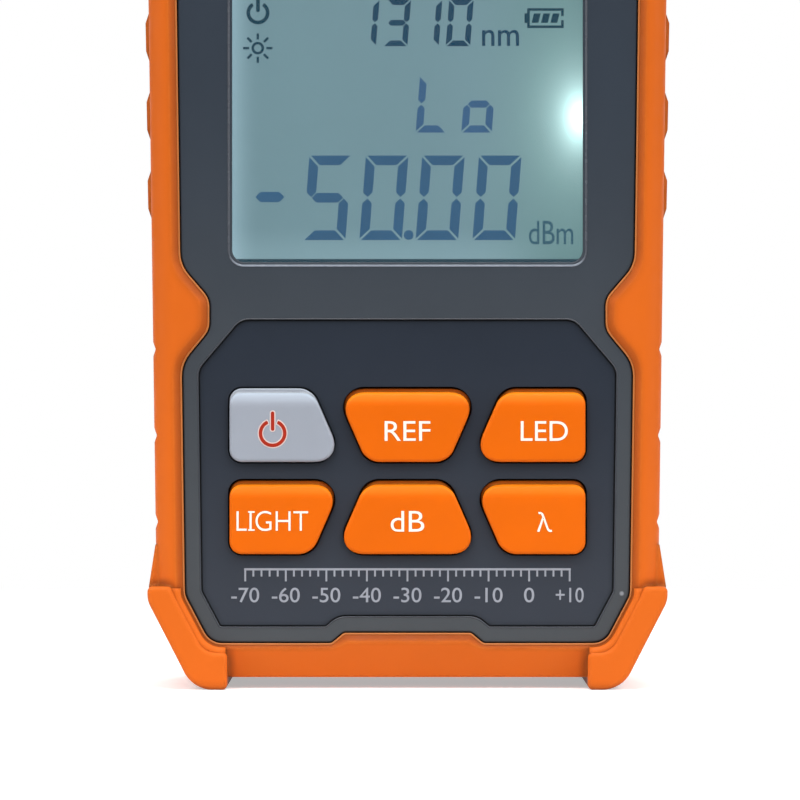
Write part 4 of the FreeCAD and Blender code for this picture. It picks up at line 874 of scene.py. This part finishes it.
def lettering(name, words, place, front, material, body, weight=0.0, extra=()):
    """Raised lettering on a face. Its place is a centre, a width and a height, in millimetres."""
    across, up, width, height = map(mm, place)
    curve = bpy.data.curves.new(name, "FONT")
    curve.body = words
    curve.size = 1.0
    curve.offset = weight
    curve.fill_mode = "BOTH"
    curve.resolution_u = 6
    bm = curve_bmesh(curve, 1e-5)
    xs, ys = [v.co.x for v in bm.verts], [v.co.y for v in bm.verts]
    middle = Vector(((min(xs) + max(xs)) / 2, (min(ys) + max(ys)) / 2, 0))
    grow = (width / (max(xs) - min(xs)), height / (max(ys) - min(ys)), 1)
    bmesh.ops.translate(bm, vec=-middle, verts=bm.verts)
    bmesh.ops.scale(bm, vec=grow, verts=bm.verts)
    thicken(bm, PRINT)
    for spot, wide, tall in extra:
        part = bar(wide, tall)
        thicken(part, PRINT * 0.9)
        join(bm, part, at(*spot))
    stand_up(bm, across, front, up)
    finish_piece(name, bm, material, body)


# ---------- beads along the case's edges


def rings_at(node_name, depth):
    """The closed rings in which a CAD node's walls cross a depth, tallest first."""
    bm = bmesh.new()
    bm.from_mesh(nodes[node_name].data)
    bmesh.ops.remove_doubles(bm, verts=bm.verts, dist=mm(0.0005))
    bisect(bm, (0, depth, 0), (0, 1, 0), mm(0.0005), clear_inner=True, clear_outer=True)
    bmesh.ops.remove_doubles(bm, verts=bm.verts, dist=mm(0.002))
    rings, seen = [], set()
    for start in bm.verts:
        if start in seen or len(start.link_edges) != 2:
            continue
        ring, vert, came = [], start, None
        while vert not in seen:
            seen.add(vert)
            ring.append(vert.co.copy())
            ways = [e for e in vert.link_edges if e is not came]
            if not ways:
                break
            came = ways[0]
            vert = came.other_vert(vert)
        rings.append(ring)
    bm.free()
    return sorted(rings, key=lambda ring: min(p.z for p in ring) - max(p.z for p in ring))


def round_bar(ring, radius, front):
    """A closed round bar that follows a ring of points at a depth."""
    curve = bpy.data.curves.new("ring", "CURVE")
    curve.dimensions = "3D"
    curve.bevel_depth = radius
    curve.bevel_resolution = 2
    spline = curve.splines.new("POLY")
    spline.points.add(len(ring) - 1)
    for point, place in zip(spline.points, ring):
        point.co = (place.x, front, place.z, 1)
    spline.use_cyclic_u = True
    return curve_bmesh(curve, mm(0.001))


def bead(name, ring, radius, front, material):
    """A thin round bead along a ring of points."""
    finish_piece(name, round_bar(ring, radius, front), material, HOUSING, smooth=True)


def moved_out(ring, amount):
    """A ring of points, each moved outwards across its neighbours' line."""
    moved = []
    area = sum(a.x * b.z - b.x * a.z for a, b in zip(ring, ring[1:] + ring[:1]))
    turn = 1 if area > 0 else -1
    for i, place in enumerate(ring):
        before = (place - ring[i - 1]).normalized()
        after = (ring[(i + 1) % len(ring)] - place).normalized()
        along = (before + after).normalized()
        moved.append(place + Vector((along.z, 0, -along.x)) * turn * amount)
    return moved


WELT_RADIUS = mm(0.95)
WELT_SINK = mm(0.25)
WELT_INNER = mm(28.2)
WELT_END = mm(15.7)


def guard_welts(ring):
    """Rounded welts that lead from the lip up to the four guards."""
    path = moved_out(ring, WELT_RADIUS + WELT_SINK)
    bm = bmesh.new()
    for side in (-1, 1):
        for end in (-1, 1):
            part = round_bar(path, WELT_RADIUS, BOOT_FRONT + WELT_SINK)
            stop = BOOT_MIDDLE + end * (BOOT_MIDDLE - WELT_END)
            cut_away(part, Vector((side * WELT_INNER, 0, 0)), Vector((-side, 0, 0)))
            cut_away(part, Vector((0, 0, stop)), Vector((0, 0, -end)))
            bmesh.ops.holes_fill(part, edges=[e for e in part.edges if e.is_boundary])
            join(bm, part)
    finish_piece("guard_welts", bm, "boot", HOUSING, smooth=True)


FACE_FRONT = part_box("front_cover")[0].y
LIP_RADIUS, LIP_FRONT = mm(0.17), FACE_FRONT - mm(0.05)
RECESS_RADIUS, RECESS_FRONT = mm(0.13), FACE_FRONT + mm(0.07)
RECESS_MIDWAY = FACE_FRONT + mm(0.5)
WINDOW_EDGE_RADIUS, WINDOW_EDGE_FRONT = mm(0.2), FACE_FRONT + mm(0.1)
WINDOW_ROUND = mm(2.3)
PANE_THICK, PANE_ROUND, PANE_EDGE = mm(0.9), mm(2.0), mm(0.15)


def edge_beads():
    """Beads on the boot's lip, the keypad recess and the window's edge."""
    boot_ring = rings_at("rubber_boot", LIP_FRONT)[1]
    bead("boot_lip", boot_ring, LIP_RADIUS, LIP_FRONT, "boot_lip")
    guard_welts(boot_ring)
    recess_ring = rings_at("front_cover", RECESS_MIDWAY)[1]
    bead("recess_edge", recess_ring, RECESS_RADIUS, RECESS_FRONT, "case_edge")
    side, foot = LENS_LAP - mm(0.5), LENS_LAP - mm(0.55)
    corners = box_corners(
        (WINDOW_LOW.x + side, WINDOW_LOW.z + foot),
        (WINDOW_HIGH.x - side, WINDOW_HIGH.z - side),
        WINDOW_ROUND,
    )
    flat = outline_face(corners)
    loop = flat.faces[:][-1].loops
    window_ring = [Vector((corner.vert.co.x, 0, corner.vert.co.y)) for corner in loop]
    flat.free()
    bead("window_edge", window_ring, WINDOW_EDGE_RADIUS, WINDOW_EDGE_FRONT, "window_edge")


def window_pane():
    """A thin clear pane behind the window, clear of the marks on the display."""
    low, high = WINDOW_LOW, WINDOW_HIGH
    corners = box_corners((low.x, low.z), (high.x, high.z), PANE_ROUND)
    bm = block(corners, 0.0, PANE_THICK, PANE_EDGE, 3)
    stand_up(bm, 0, low.y + PANE_THICK, 0)
    pane = finish_piece("window_pane", bm, "lens", HOUSING)
    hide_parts("display_lens")


# ---------- keys

KEY_SLANT = mm(5.0)
KEY_FLANGE = mm(0.9)
FLANGE_THICK = mm(1.0)
STEM_LENGTH = mm(0.6)
STEM_RADIUS = mm(2.3)
PIECE_LAP = mm(0.2)
SQUARE_ROUND = mm(1.9)
TIP_ROUND = mm(3.0)
TOP_GAP = mm(0.58)
CROWN_REACH = mm(2.4)
CROWN_FALL = mm(0.95)
CROWN_STEPS = 9
CROWN_EDGE = mm(0.45)
SKIRT_EDGE = mm(0.15)
# name: upper row, column, finish, step from the crown's front to the skirt
KEYS = {
    "power": (True, -1, "power_key", mm(1.1)),
    "reference": (True, 0, "key", mm(1.9)),
    "lamp": (True, 1, "key", mm(1.9)),
    "backlight": (False, -1, "key", mm(1.9)),
    "decibel": (False, 0, "key", mm(1.9)),
    "wavelength": (False, 1, "key", mm(1.9)),
}


def key_outline(low, high, upper, column, drop=0.0, grown=0.0):
    """A key's outline: its inner sides slant, and drop lowers its upper edge."""
    wide_top = upper == (column == 0)
    left = KEY_SLANT if column >= 0 else 0.0
    right = KEY_SLANT if column <= 0 else 0.0
    foot = 1.0 if wide_top else 0.0
    head = drop / (high.z - low.z) if wide_top else 1 - drop / (high.z - low.z)
    # a box ends at the rounded tips, and the sharp corners lie past it
    half_tip = math.atan2(high.z - low.z, KEY_SLANT) / 2
    past_tip = (TIP_ROUND + grown) * (1 / math.tan(half_tip) - 1)
    first = low.x - (past_tip if left else 0.0)
    last = high.x + (past_tip if right else 0.0)
    corners = [
        (first + left * foot, low.z, left),
        (last - right * foot, low.z, right),
        (last - right * head, high.z - drop, right),
        (first + left * head, high.z - drop, left),
    ]
    return [(x, z, (TIP_ROUND if slanted else SQUARE_ROUND) + grown) for x, z, slanted in corners]


def crown_top(bm, top):
    """Curves a key's front back towards its upper edge."""
    for i in range(1, CROWN_STEPS + 1):
        bisect(bm, (0, top - CROWN_REACH * i / CROWN_STEPS, 0), (0, 1, 0), mm(0.001))
    for vert in bm.verts:
        past = (vert.co.y - (top - CROWN_REACH)) / CROWN_REACH
        if past > 0:
            vert.co.z -= CROWN_FALL * past * past


def key_cap(name, upper, column, material, step):
    """A key's cap: a crown, a skirt a step behind its front, a hidden flange and a stem."""
    low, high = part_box(f"{name}_key")
    depth = high.y - low.y
    flange_front = STEM_LENGTH + FLANGE_THICK - depth
    border = Vector((KEY_FLANGE, 0, KEY_FLANGE))
    inner_low, inner_high = low + border, high - border
    crown = key_outline(inner_low, inner_high, upper, column, TOP_GAP)
    bm = block(crown, -step - PIECE_LAP, 0.0, CROWN_EDGE, 5)
    crown_top(bm, inner_high.z - TOP_GAP)
    skirt = key_outline(inner_low, inner_high, upper, column)
    join(bm, block(skirt, flange_front - PIECE_LAP, -step, SKIRT_EDGE, 2))
    flange = key_outline(low, high, upper, column, grown=KEY_FLANGE)
    join(bm, block(flange, flange_front - FLANGE_THICK, flange_front))
    middle = sum(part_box(f"{name}_plunger"), Vector()) / 2
    stem = bmesh.new()
    bmesh.ops.create_cone(
        stem,
        cap_ends=True,
        segments=40,
        radius1=STEM_RADIUS,
        radius2=STEM_RADIUS,
        depth=STEM_LENGTH + PIECE_LAP,
    )
    stem_middle = (STEM_LENGTH + PIECE_LAP) / 2 - depth
    join(bm, stem, Matrix.Translation((middle.x, middle.z, stem_middle)))
    stand_up(bm, 0, low.y, 0)
    cap = finish_piece(f"{name}_key_cap", bm, material, f"{name}_button")
    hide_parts(f"{name}_key")


def key_caps():
    for name, (upper, column, material, step) in KEYS.items():
        key_cap(name, upper, column, material, step)


# ---------- display digits


def pointed_bar(length, stroke):
    """A level bar about the origin with pointed ends."""
    bm = bar(length, stroke)
    for side in (-1, 1):
        for lean in (-1, 1):
            cut_away(bm, Vector((side * length / 2, 0, 0)), Vector((side, lean, 0)))
    return bm


def mitred_bar(length, stroke):
    """A bar whose outer side is longer than its inner side, which lies towards -Y."""
    bm = bar(length, stroke)
    shift(bm, 0, -stroke / 2, 0)
    for side in (-1, 1):
        cut_away(bm, Vector((side * length / 2, 0, 0)), Vector((side, -1, 0)))
    return bm


def side_bar(length, stroke):
    """A standing bar, mitred at its outer end and pointed where it meets its neighbour."""
    bm = bar(stroke, length)
    shift(bm, stroke / 2, length / 2, 0)
    cut_away(bm, Vector((0, length, 0)), Vector((1, 1, 0)))
    for lean in (-1, 1):
        cut_away(bm, Vector((stroke / 2, 0, 0)), Vector((lean, -1, 0)))
    return bm


DIGIT_LEAN = Matrix.Identity(4)
DIGIT_LEAN[0][1] = 0.078
MIRROR_ACROSS = Matrix.Scale(-1, 4, (1, 0, 0))
HALF_TURN = Matrix.Rotation(math.pi, 4, "Z")


def digit(bm, lit, corner, width, height, stroke, gap):
    """Adds one leaning seven segment digit. Its lower left corner is given."""
    half, mid = width / 2, height / 2
    side = mid - gap * 1.5
    places = {
        "a": (mitred_bar, width - gap * 2, at(half, height)),
        "d": (mitred_bar, width - gap * 2, at(half, 0) @ HALF_TURN),
        "g": (pointed_bar, width - stroke - gap, at(half, mid)),
        "f": (side_bar, side, at(0, mid + gap / 2)),
        "b": (side_bar, side, at(width, mid + gap / 2) @ MIRROR_ACROSS),
        "e": (side_bar, side, at(0, mid - gap / 2) @ MIRROR_ACROSS @ HALF_TURN),
        "c": (side_bar, side, at(width, mid - gap / 2) @ HALF_TURN),
    }
    for letter in lit:
        make, length, place = places[letter]
        join(bm, make(length, stroke), at(*corner) @ DIGIT_LEAN @ place)


SHAPES = {
    "0": "abcdef",
    "1": "bc",
    "3": "abgcd",
    "5": "afgcd",
    "L": "fed",
    "o": "gcde",
}


# ---------- light, floor and camera


LIT_MIDDLE = (0.0, 0.0, mm(70))


def add_lamp(name, place, size, power):
    """An area lamp that faces the middle of the meter."""
    data = bpy.data.lights.new(name, "AREA")
    data.shape = "RECTANGLE"
    data.size, data.size_y = size
    data.energy = power
    lamp = new_object(name, data)
    lamp.location = place
    aim = Vector(LIT_MIDDLE) - Vector(place)
    lamp.rotation_euler = aim.to_track_quat("-Z", "Y").to_euler()


def seen_directly(wiring):
    """One for camera, glossy and transmission rays."""
    path = wiring.add("LightPath")
    first = wiring.math("MAXIMUM", path.outputs["Is Camera Ray"], path.outputs["Is Glossy Ray"])
    return wiring.math("MAXIMUM", first, path.outputs["Is Transmission Ray"])


ROOM_LIGHT = 0.3


def make_world():
    world = bpy.data.worlds.new("studio")
    bpy.context.scene.world = world
    world.use_nodes = True
    wiring = Wiring(world.node_tree)
    background = world.node_tree.nodes["Background"]
    background.inputs["Color"].default_value = WHITE
    strength = wiring.span(seen_directly(wiring), 0.0, 1.0, ROOM_LIGHT, 1.0)
    wiring.feed(background, "Strength", strength)


def make_floor():
    """A pale floor that keeps the meter's shadow, and turns to plain white away from it."""
    bm = bar(6.0, 6.0)
    mesh = bpy.data.meshes.new("floor")
    bm.to_mesh(mesh)
    bm.free()
    material, wiring, shader = plain_material("pale_floor")
    reach = wiring.vector("LENGTH", wiring.here())["Value"]
    far = wiring.span(reach, mm(90), mm(320), smooth=True)
    wiring.feed(shader, "Base Color", wiring.mix(far, (0.8, 0.8, 0.8, 1.0), BLACK))
    glow = wiring.span(far, 0.0, 1.0, 0.42, 1.0)
    wiring.feed(shader, "Emission Strength", wiring.times(seen_directly(wiring), glow))
    shader.inputs["Emission Color"].default_value = WHITE
    shader.inputs["Roughness"].default_value = 0.9
    shader.inputs["Specular IOR Level"].default_value = 0.0
    mesh.materials.append(material)
    floor = new_object("floor", mesh)


def set_the_stage():
    make_world()
    make_floor()
    add_lamp("key_light", (-0.5, -0.75, 0.95), (0.7, 0.6), 6.4)
    add_lamp("fill_light", (0.55, -0.75, 0.9), (0.7, 0.6), 5.9)
    add_lamp("left_light", (-1.0, -0.35, 0.35), (0.4, 0.6), 2.6)
    add_lamp("right_light", (1.0, -0.35, 0.35), (0.4, 0.6), 2.6)
    add_lamp("top_light", (0.0, -0.2, 1.0), (0.8, 0.3), 5.6)
    add_lamp("back_light", (0.3, 0.9, 0.7), (0.8, 0.6), 5.0)


VIEW_ACROSS = mm(124.2)
VIEW_CENTRE = (mm(-1.16), mm(44.9))
VIEW_DISTANCE = 0.6
SENSOR = 36.0


def add_camera():
    data = bpy.data.cameras.new("camera")
    data.sensor_width = SENSOR
    data.lens = SENSOR * VIEW_DISTANCE / VIEW_ACROSS
    data.clip_start = 0.01
    camera = new_object("camera", data)
    camera.location = (VIEW_CENTRE[0], FACE_FRONT - VIEW_DISTANCE, VIEW_CENTRE[1])
    camera.rotation_euler = (math.radians(90), 0, 0)
    bpy.context.scene.camera = camera


# ---------- markings on the keys and panel

KEY_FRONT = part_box("reference_key")[0].y
PANEL_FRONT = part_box("keypad_overlay")[0].y

# name, words, place, body, weight
LEGENDS = [
    ("reference_legend", "REF", (0.0, 40.1, 7.1, 3.05), "reference_button", 0.0),
    ("lamp_legend", "LED", (21.2, 40.1, 7.3, 3.05), "lamp_button", 0.0),
    ("backlight_legend", "LIGHT", (-20.95, 26.15, 11.1, 3.1), "backlight_button", -0.008),
    ("decibel_legend", "dB", (0.0, 26.1, 5.2, 3.2), "decibel_button", -0.002),
    ("wavelength_legend", "\u03bb", (21.25, 26.0, 2.35, 3.1), "wavelength_button", 0.0),
]
SERIFS = [((mm(-3.23), side * mm(1.4)), mm(1.0), mm(0.25)) for side in (-1, 1)]
POWER_MARK = (mm(-20.9), mm(39.75))


def power_symbol(radius, stroke, opening, stem_low, stem_high):
    """The usual on and off mark: a broken ring with a bar through its opening."""
    bm = ring_arc(radius, stroke, opening)
    thicken(bm, PRINT)
    stem = bar(stroke, stem_high - stem_low, stroke / 2 * 0.96, 5)
    thicken(stem, PRINT * 0.9)
    join(bm, stem, at(0, (stem_low + stem_high) / 2))
    return bm


def key_marks():
    for name, words, place, body, weight in LEGENDS:
        extra = SERIFS if words == "LIGHT" else ()
        lettering(name, words, place, KEY_FRONT, "print", body, weight, extra)
    halo = power_symbol(mm(2.33), mm(0.9), 0.66, mm(0.2), mm(3.55))
    stand_up(halo, POWER_MARK[0], KEY_FRONT + mm(0.01), POWER_MARK[1])
    finish_piece("power_mark_halo", halo, "halo", "power_button")
    mark = power_symbol(mm(2.15), mm(0.54), 0.8, mm(0.38), mm(3.37))
    stand_up(mark, POWER_MARK[0], KEY_FRONT - PRINT, POWER_MARK[1])
    finish_piece("power_mark", mark, "red_print", "power_button")


SCALE_HALF = 25.2  # in millimetres
SCALE_BASE = mm(18.6)
SCALE_LINE = mm(0.34)
LONG_TICK, SHORT_TICK = mm(1.7), mm(0.95)
TICKS_PER_NUMBER = 5
SCALE_NUMBERS = ("-70", "-60", "-50", "-40", "-30", "-20", "-10", "0", "+10")


def panel_scale():
    """A plain level scale printed under the keys, from low to high."""
    bm = bar(mm(SCALE_HALF * 2) + SCALE_LINE, SCALE_LINE)
    shift(bm, 0, SCALE_BASE, 0)
    steps = TICKS_PER_NUMBER * (len(SCALE_NUMBERS) - 1)
    for i in range(steps + 1):
        tall = SHORT_TICK if i % TICKS_PER_NUMBER else LONG_TICK
        place = mm(SCALE_HALF * (2 * i / steps - 1))
        join(bm, bar(SCALE_LINE * 0.85, tall), at(place, SCALE_BASE - tall / 2 - SCALE_LINE * 0.51))
    thicken(bm, PRINT)
    stand_up(bm, 0.0, PANEL_FRONT, 0.0)
    finish_piece("level_scale", bm, "scale_print", HOUSING)
    for i, words in enumerate(SCALE_NUMBERS):
        across = SCALE_HALF * (2 * i / (len(SCALE_NUMBERS) - 1) - 1)
        place = (across, 14.6, 1.6 if len(words) == 1 else 4.35, 2.3)
        name = f"scale_number_{i + 1}"
        lettering(name, words, place, PANEL_FRONT, "scale_print", HOUSING, 0.004)


# ---------- marks on the display

DISPLAY_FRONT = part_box("display_glass")[0].y


def display_piece(name, bm, material):
    thicken(bm, PRINT)
    stand_up(bm, 0, DISPLAY_FRONT, 0)
    finish_piece(name, bm, material, HOUSING)


def digit_row(marks, up, *measures):
    """Digits at one height. All lengths are in millimetres."""
    bm = bmesh.new()
    for shape, across in marks:
        digit(bm, SHAPES[shape], (mm(across), mm(up)), *map(mm, measures))
    return bm


def display_digits():
    """The large reading, the wavelength and the state letters."""
    marks = (("5", -16.3), ("0", -7.5), ("0", 1.27), ("0", 10.12))
    bm = digit_row(marks, 69.83, 6.63, 13.16, 1.5, 0.234)
    join(bm, pointed_bar(mm(4.52), mm(1.6)), at(mm(-21.43), mm(76.53)))
    join(bm, bar(mm(1.5), mm(1.5), mm(0.72), 8), at(mm(0.19), mm(70.61)))
    display_piece("reading_digits", bm, "segment")
    marks = (("1", -8.73), ("3", -3.82), ("1", 1.05), ("0", 5.95))
    bm = digit_row(marks, 100.03, 3.82, 7.3, 0.89, 0.17)
    display_piece("wavelength_digits", bm, "small_segment")
    bm = digit_row((("L", 1.27), ("o", 8.38)), 86.57, 4.76, 8.89, 1.12, 0.2)
    display_piece("level_state_letters", bm, "mid_segment")


def off_timer_icon():
    """The mark that the meter will turn itself off."""
    bm = power_symbol(mm(1.8), mm(0.58), 1.1, mm(0.1), mm(2.4))
    stand_up(bm, mm(-23.29), DISPLAY_FRONT, mm(105.24))
    finish_piece("off_timer_icon", bm, "icon", HOUSING)


LAMP_ICON = (mm(-23.32), mm(99.73))
SUN_RADIUS, SUN_LINE = mm(0.98), mm(0.4)
RAYS, RAY_LENGTH, RAY_LINE, RAY_REACH = 8, mm(0.95), mm(0.38), mm(1.82)


def lamp_icon():
    """A small sun: a ring with eight rays."""
    bm = ring_arc(SUN_RADIUS, SUN_LINE, steps=40)
    for i in range(RAYS):
        turn = Matrix.Rotation(math.tau * i / RAYS, 4, "Z")
        join(bm, bar(RAY_LENGTH, RAY_LINE), at(*LAMP_ICON) @ turn @ at(RAY_REACH, 0))
    ring = [v for v in bm.verts if v.co.length < mm(2)]
    bmesh.ops.translate(bm, vec=(*LAMP_ICON, 0), verts=ring)
    display_piece("lamp_icon", bm, "icon")


def battery_icon():
    """An outline of a cell with three leaning bars in it."""
    bm = bmesh.new()
    left, right, low, high = mm(18.66), mm(24.35), mm(102.86), mm(105.95)
    middle, line = (low + high) / 2, mm(0.4)
    for up in (low + line / 2, high - line / 2):
        join(bm, bar(right - left, line), at((left + right) / 2, up))
    inside = high - low - line * 2
    join(bm, bar(line, inside), at(left + line / 2, middle))
    for side in (-1, 1):
        join(bm, bar(line, inside * 0.36), at(right - line / 2, middle + side * inside * 0.32))
    join(bm, bar(mm(0.42), mm(1.5)), at(left - mm(0.21), middle))
    lean = Matrix.Identity(4)
    lean[0][1] = 0.26
    for i in range(3):
        join(bm, bar(mm(1.05), mm(1.45)), at(mm(20.05 + 1.47 * i), middle) @ lean)
    display_piece("battery_icon", bm, "icon")


def display_marks():
    display_digits()
    off_timer_icon()
    lamp_icon()
    battery_icon()
    for name, words, place, look, weight in (
        ("wavelength_unit", "nm", (14.51, 101.33, 5.77, 2.5), "small_segment", 0.006),
        ("level_unit", "dBm", (22.38, 71.0, 6.93, 3.66), "faint_segment", 0.002),
    ):
        lettering(name, words, place, DISPLAY_FRONT, look, HOUSING, weight)


# ---------- port, cap and battery door

BARREL_LENGTH = mm(6.0)
BARREL_RADIUS = mm(4.0)
KEYWAY_HALF = mm(1.2)
THREAD_PITCH, THREAD_TURNS, THREAD_STEPS, THREAD_FOOT = mm(0.75), 7, 36, mm(0.45)
SLEEVE_RADIUS, SLEEVE_WALL, SLEEVE_RISE = mm(2.1), mm(0.78), mm(0.06)
CAP_SIDE = mm(5.7)
CAP_GRIPS = 24
GRIP_DEEP, GRIP_WIDE, GRIP_ROUND = mm(0.62), mm(0.56), mm(0.22)
GRIP_TALL, GRIP_FOOT = mm(2.6), mm(2.05)
ARROW_POINTS = ((2.4, 2.0), (0.0, -1.8), (-2.4, 2.0))  # in millimetres
ARROW_ROUND, ARROW_EDGE = mm(0.3), mm(0.2)
ARROW_SUNK, ARROW_PROUD, ARROW_UP = mm(0.2), mm(0.36), mm(46)
CAP_LOW, CAP_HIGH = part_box("dust_cap")
PORT_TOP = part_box("fibre_adapter")[1].z
PORT_AXIS = (CAP_LOW + CAP_HIGH) / 2


def port_thread():
    """The thread on the port's barrel, broken at its keyway."""
    bm = bmesh.new()
    corners = [(-0.12, -0.3), (0.07, -0.03), (0.07, 0.03), (-0.12, 0.3)]
    verts = [bm.verts.new((BARREL_RADIUS + mm(x), 0, mm(z))) for x, z in corners]
    edges = [bm.edges.new((verts[i - 1], verts[i])) for i in range(len(verts))]
    climb = (0, 0, THREAD_PITCH / THREAD_STEPS)
    angle, steps = math.tau * THREAD_TURNS, THREAD_STEPS * THREAD_TURNS
    turn_round(bm, [*verts, *edges], angle, steps, dvec=climb)
    slot = [f for f in bm.faces if abs(f.calc_center_median().x) < KEYWAY_HALF]
    bmesh.ops.delete(bm, geom=slot, context="FACES")
    bmesh.ops.holes_fill(bm, edges=[e for e in bm.edges if e.is_boundary], sides=4)
    shift(bm, PORT_AXIS.x, PORT_AXIS.y, PORT_TOP - BARREL_LENGTH + THREAD_FOOT)
    finish_piece("port_thread", bm, "nickel", HOUSING)


def port_sleeve():
    """The white sleeve that shows in the port's mouth."""
    bm = ring_arc(SLEEVE_RADIUS, SLEEVE_WALL, steps=48)
    thicken(bm, SLEEVE_RISE)
    shift(bm, PORT_AXIS.x, PORT_AXIS.y, PORT_TOP)
    finish_piece("port_sleeve", bm, "ceramic", HOUSING)


def cap_grips():
    """Upright grips round the dust cap."""
    bm = bar(GRIP_DEEP, GRIP_WIDE, GRIP_ROUND, 4)
    thicken(bm, GRIP_TALL)
    shift(bm, CAP_SIDE, 0, 0)
    last_turn = math.tau * (CAP_GRIPS - 1) / CAP_GRIPS
    turn_round(bm, everything(bm), last_turn, CAP_GRIPS - 1, use_duplicate=True)
    shift(bm, PORT_AXIS.x, PORT_AXIS.y, CAP_LOW.z + GRIP_FOOT)
    finish_piece("cap_grips", bm, "cap_rubber", "port_cap")


def door_arrow():
    """A raised arrow on the battery door that points at its latch."""
    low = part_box("battery_door")[0]
    corners = [(mm(across), mm(up), ARROW_ROUND) for across, up in ARROW_POINTS]
    bm = block(corners, -ARROW_SUNK, ARROW_PROUD, ARROW_EDGE, 3)
    for matrix in (HALF_TURN, FACE_ON, HALF_TURN):
        bmesh.ops.transform(bm, matrix=matrix, verts=bm.verts)
    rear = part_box("rear_cover")[1].y
    shift(bm, 0, rear, low.z + ARROW_UP)
    finish_piece("door_arrow", bm, "case", "battery_hatch")


# ---------- the scene

bpy.context.scene.view_settings.view_transform = "Standard"
add_camera()
set_the_stage()
make_materials()
dress_nodes()
window_pane()
key_caps()
edge_beads()
key_marks()
panel_scale()
display_marks()
port_thread()
port_sleeve()
cap_grips()
door_arrow()
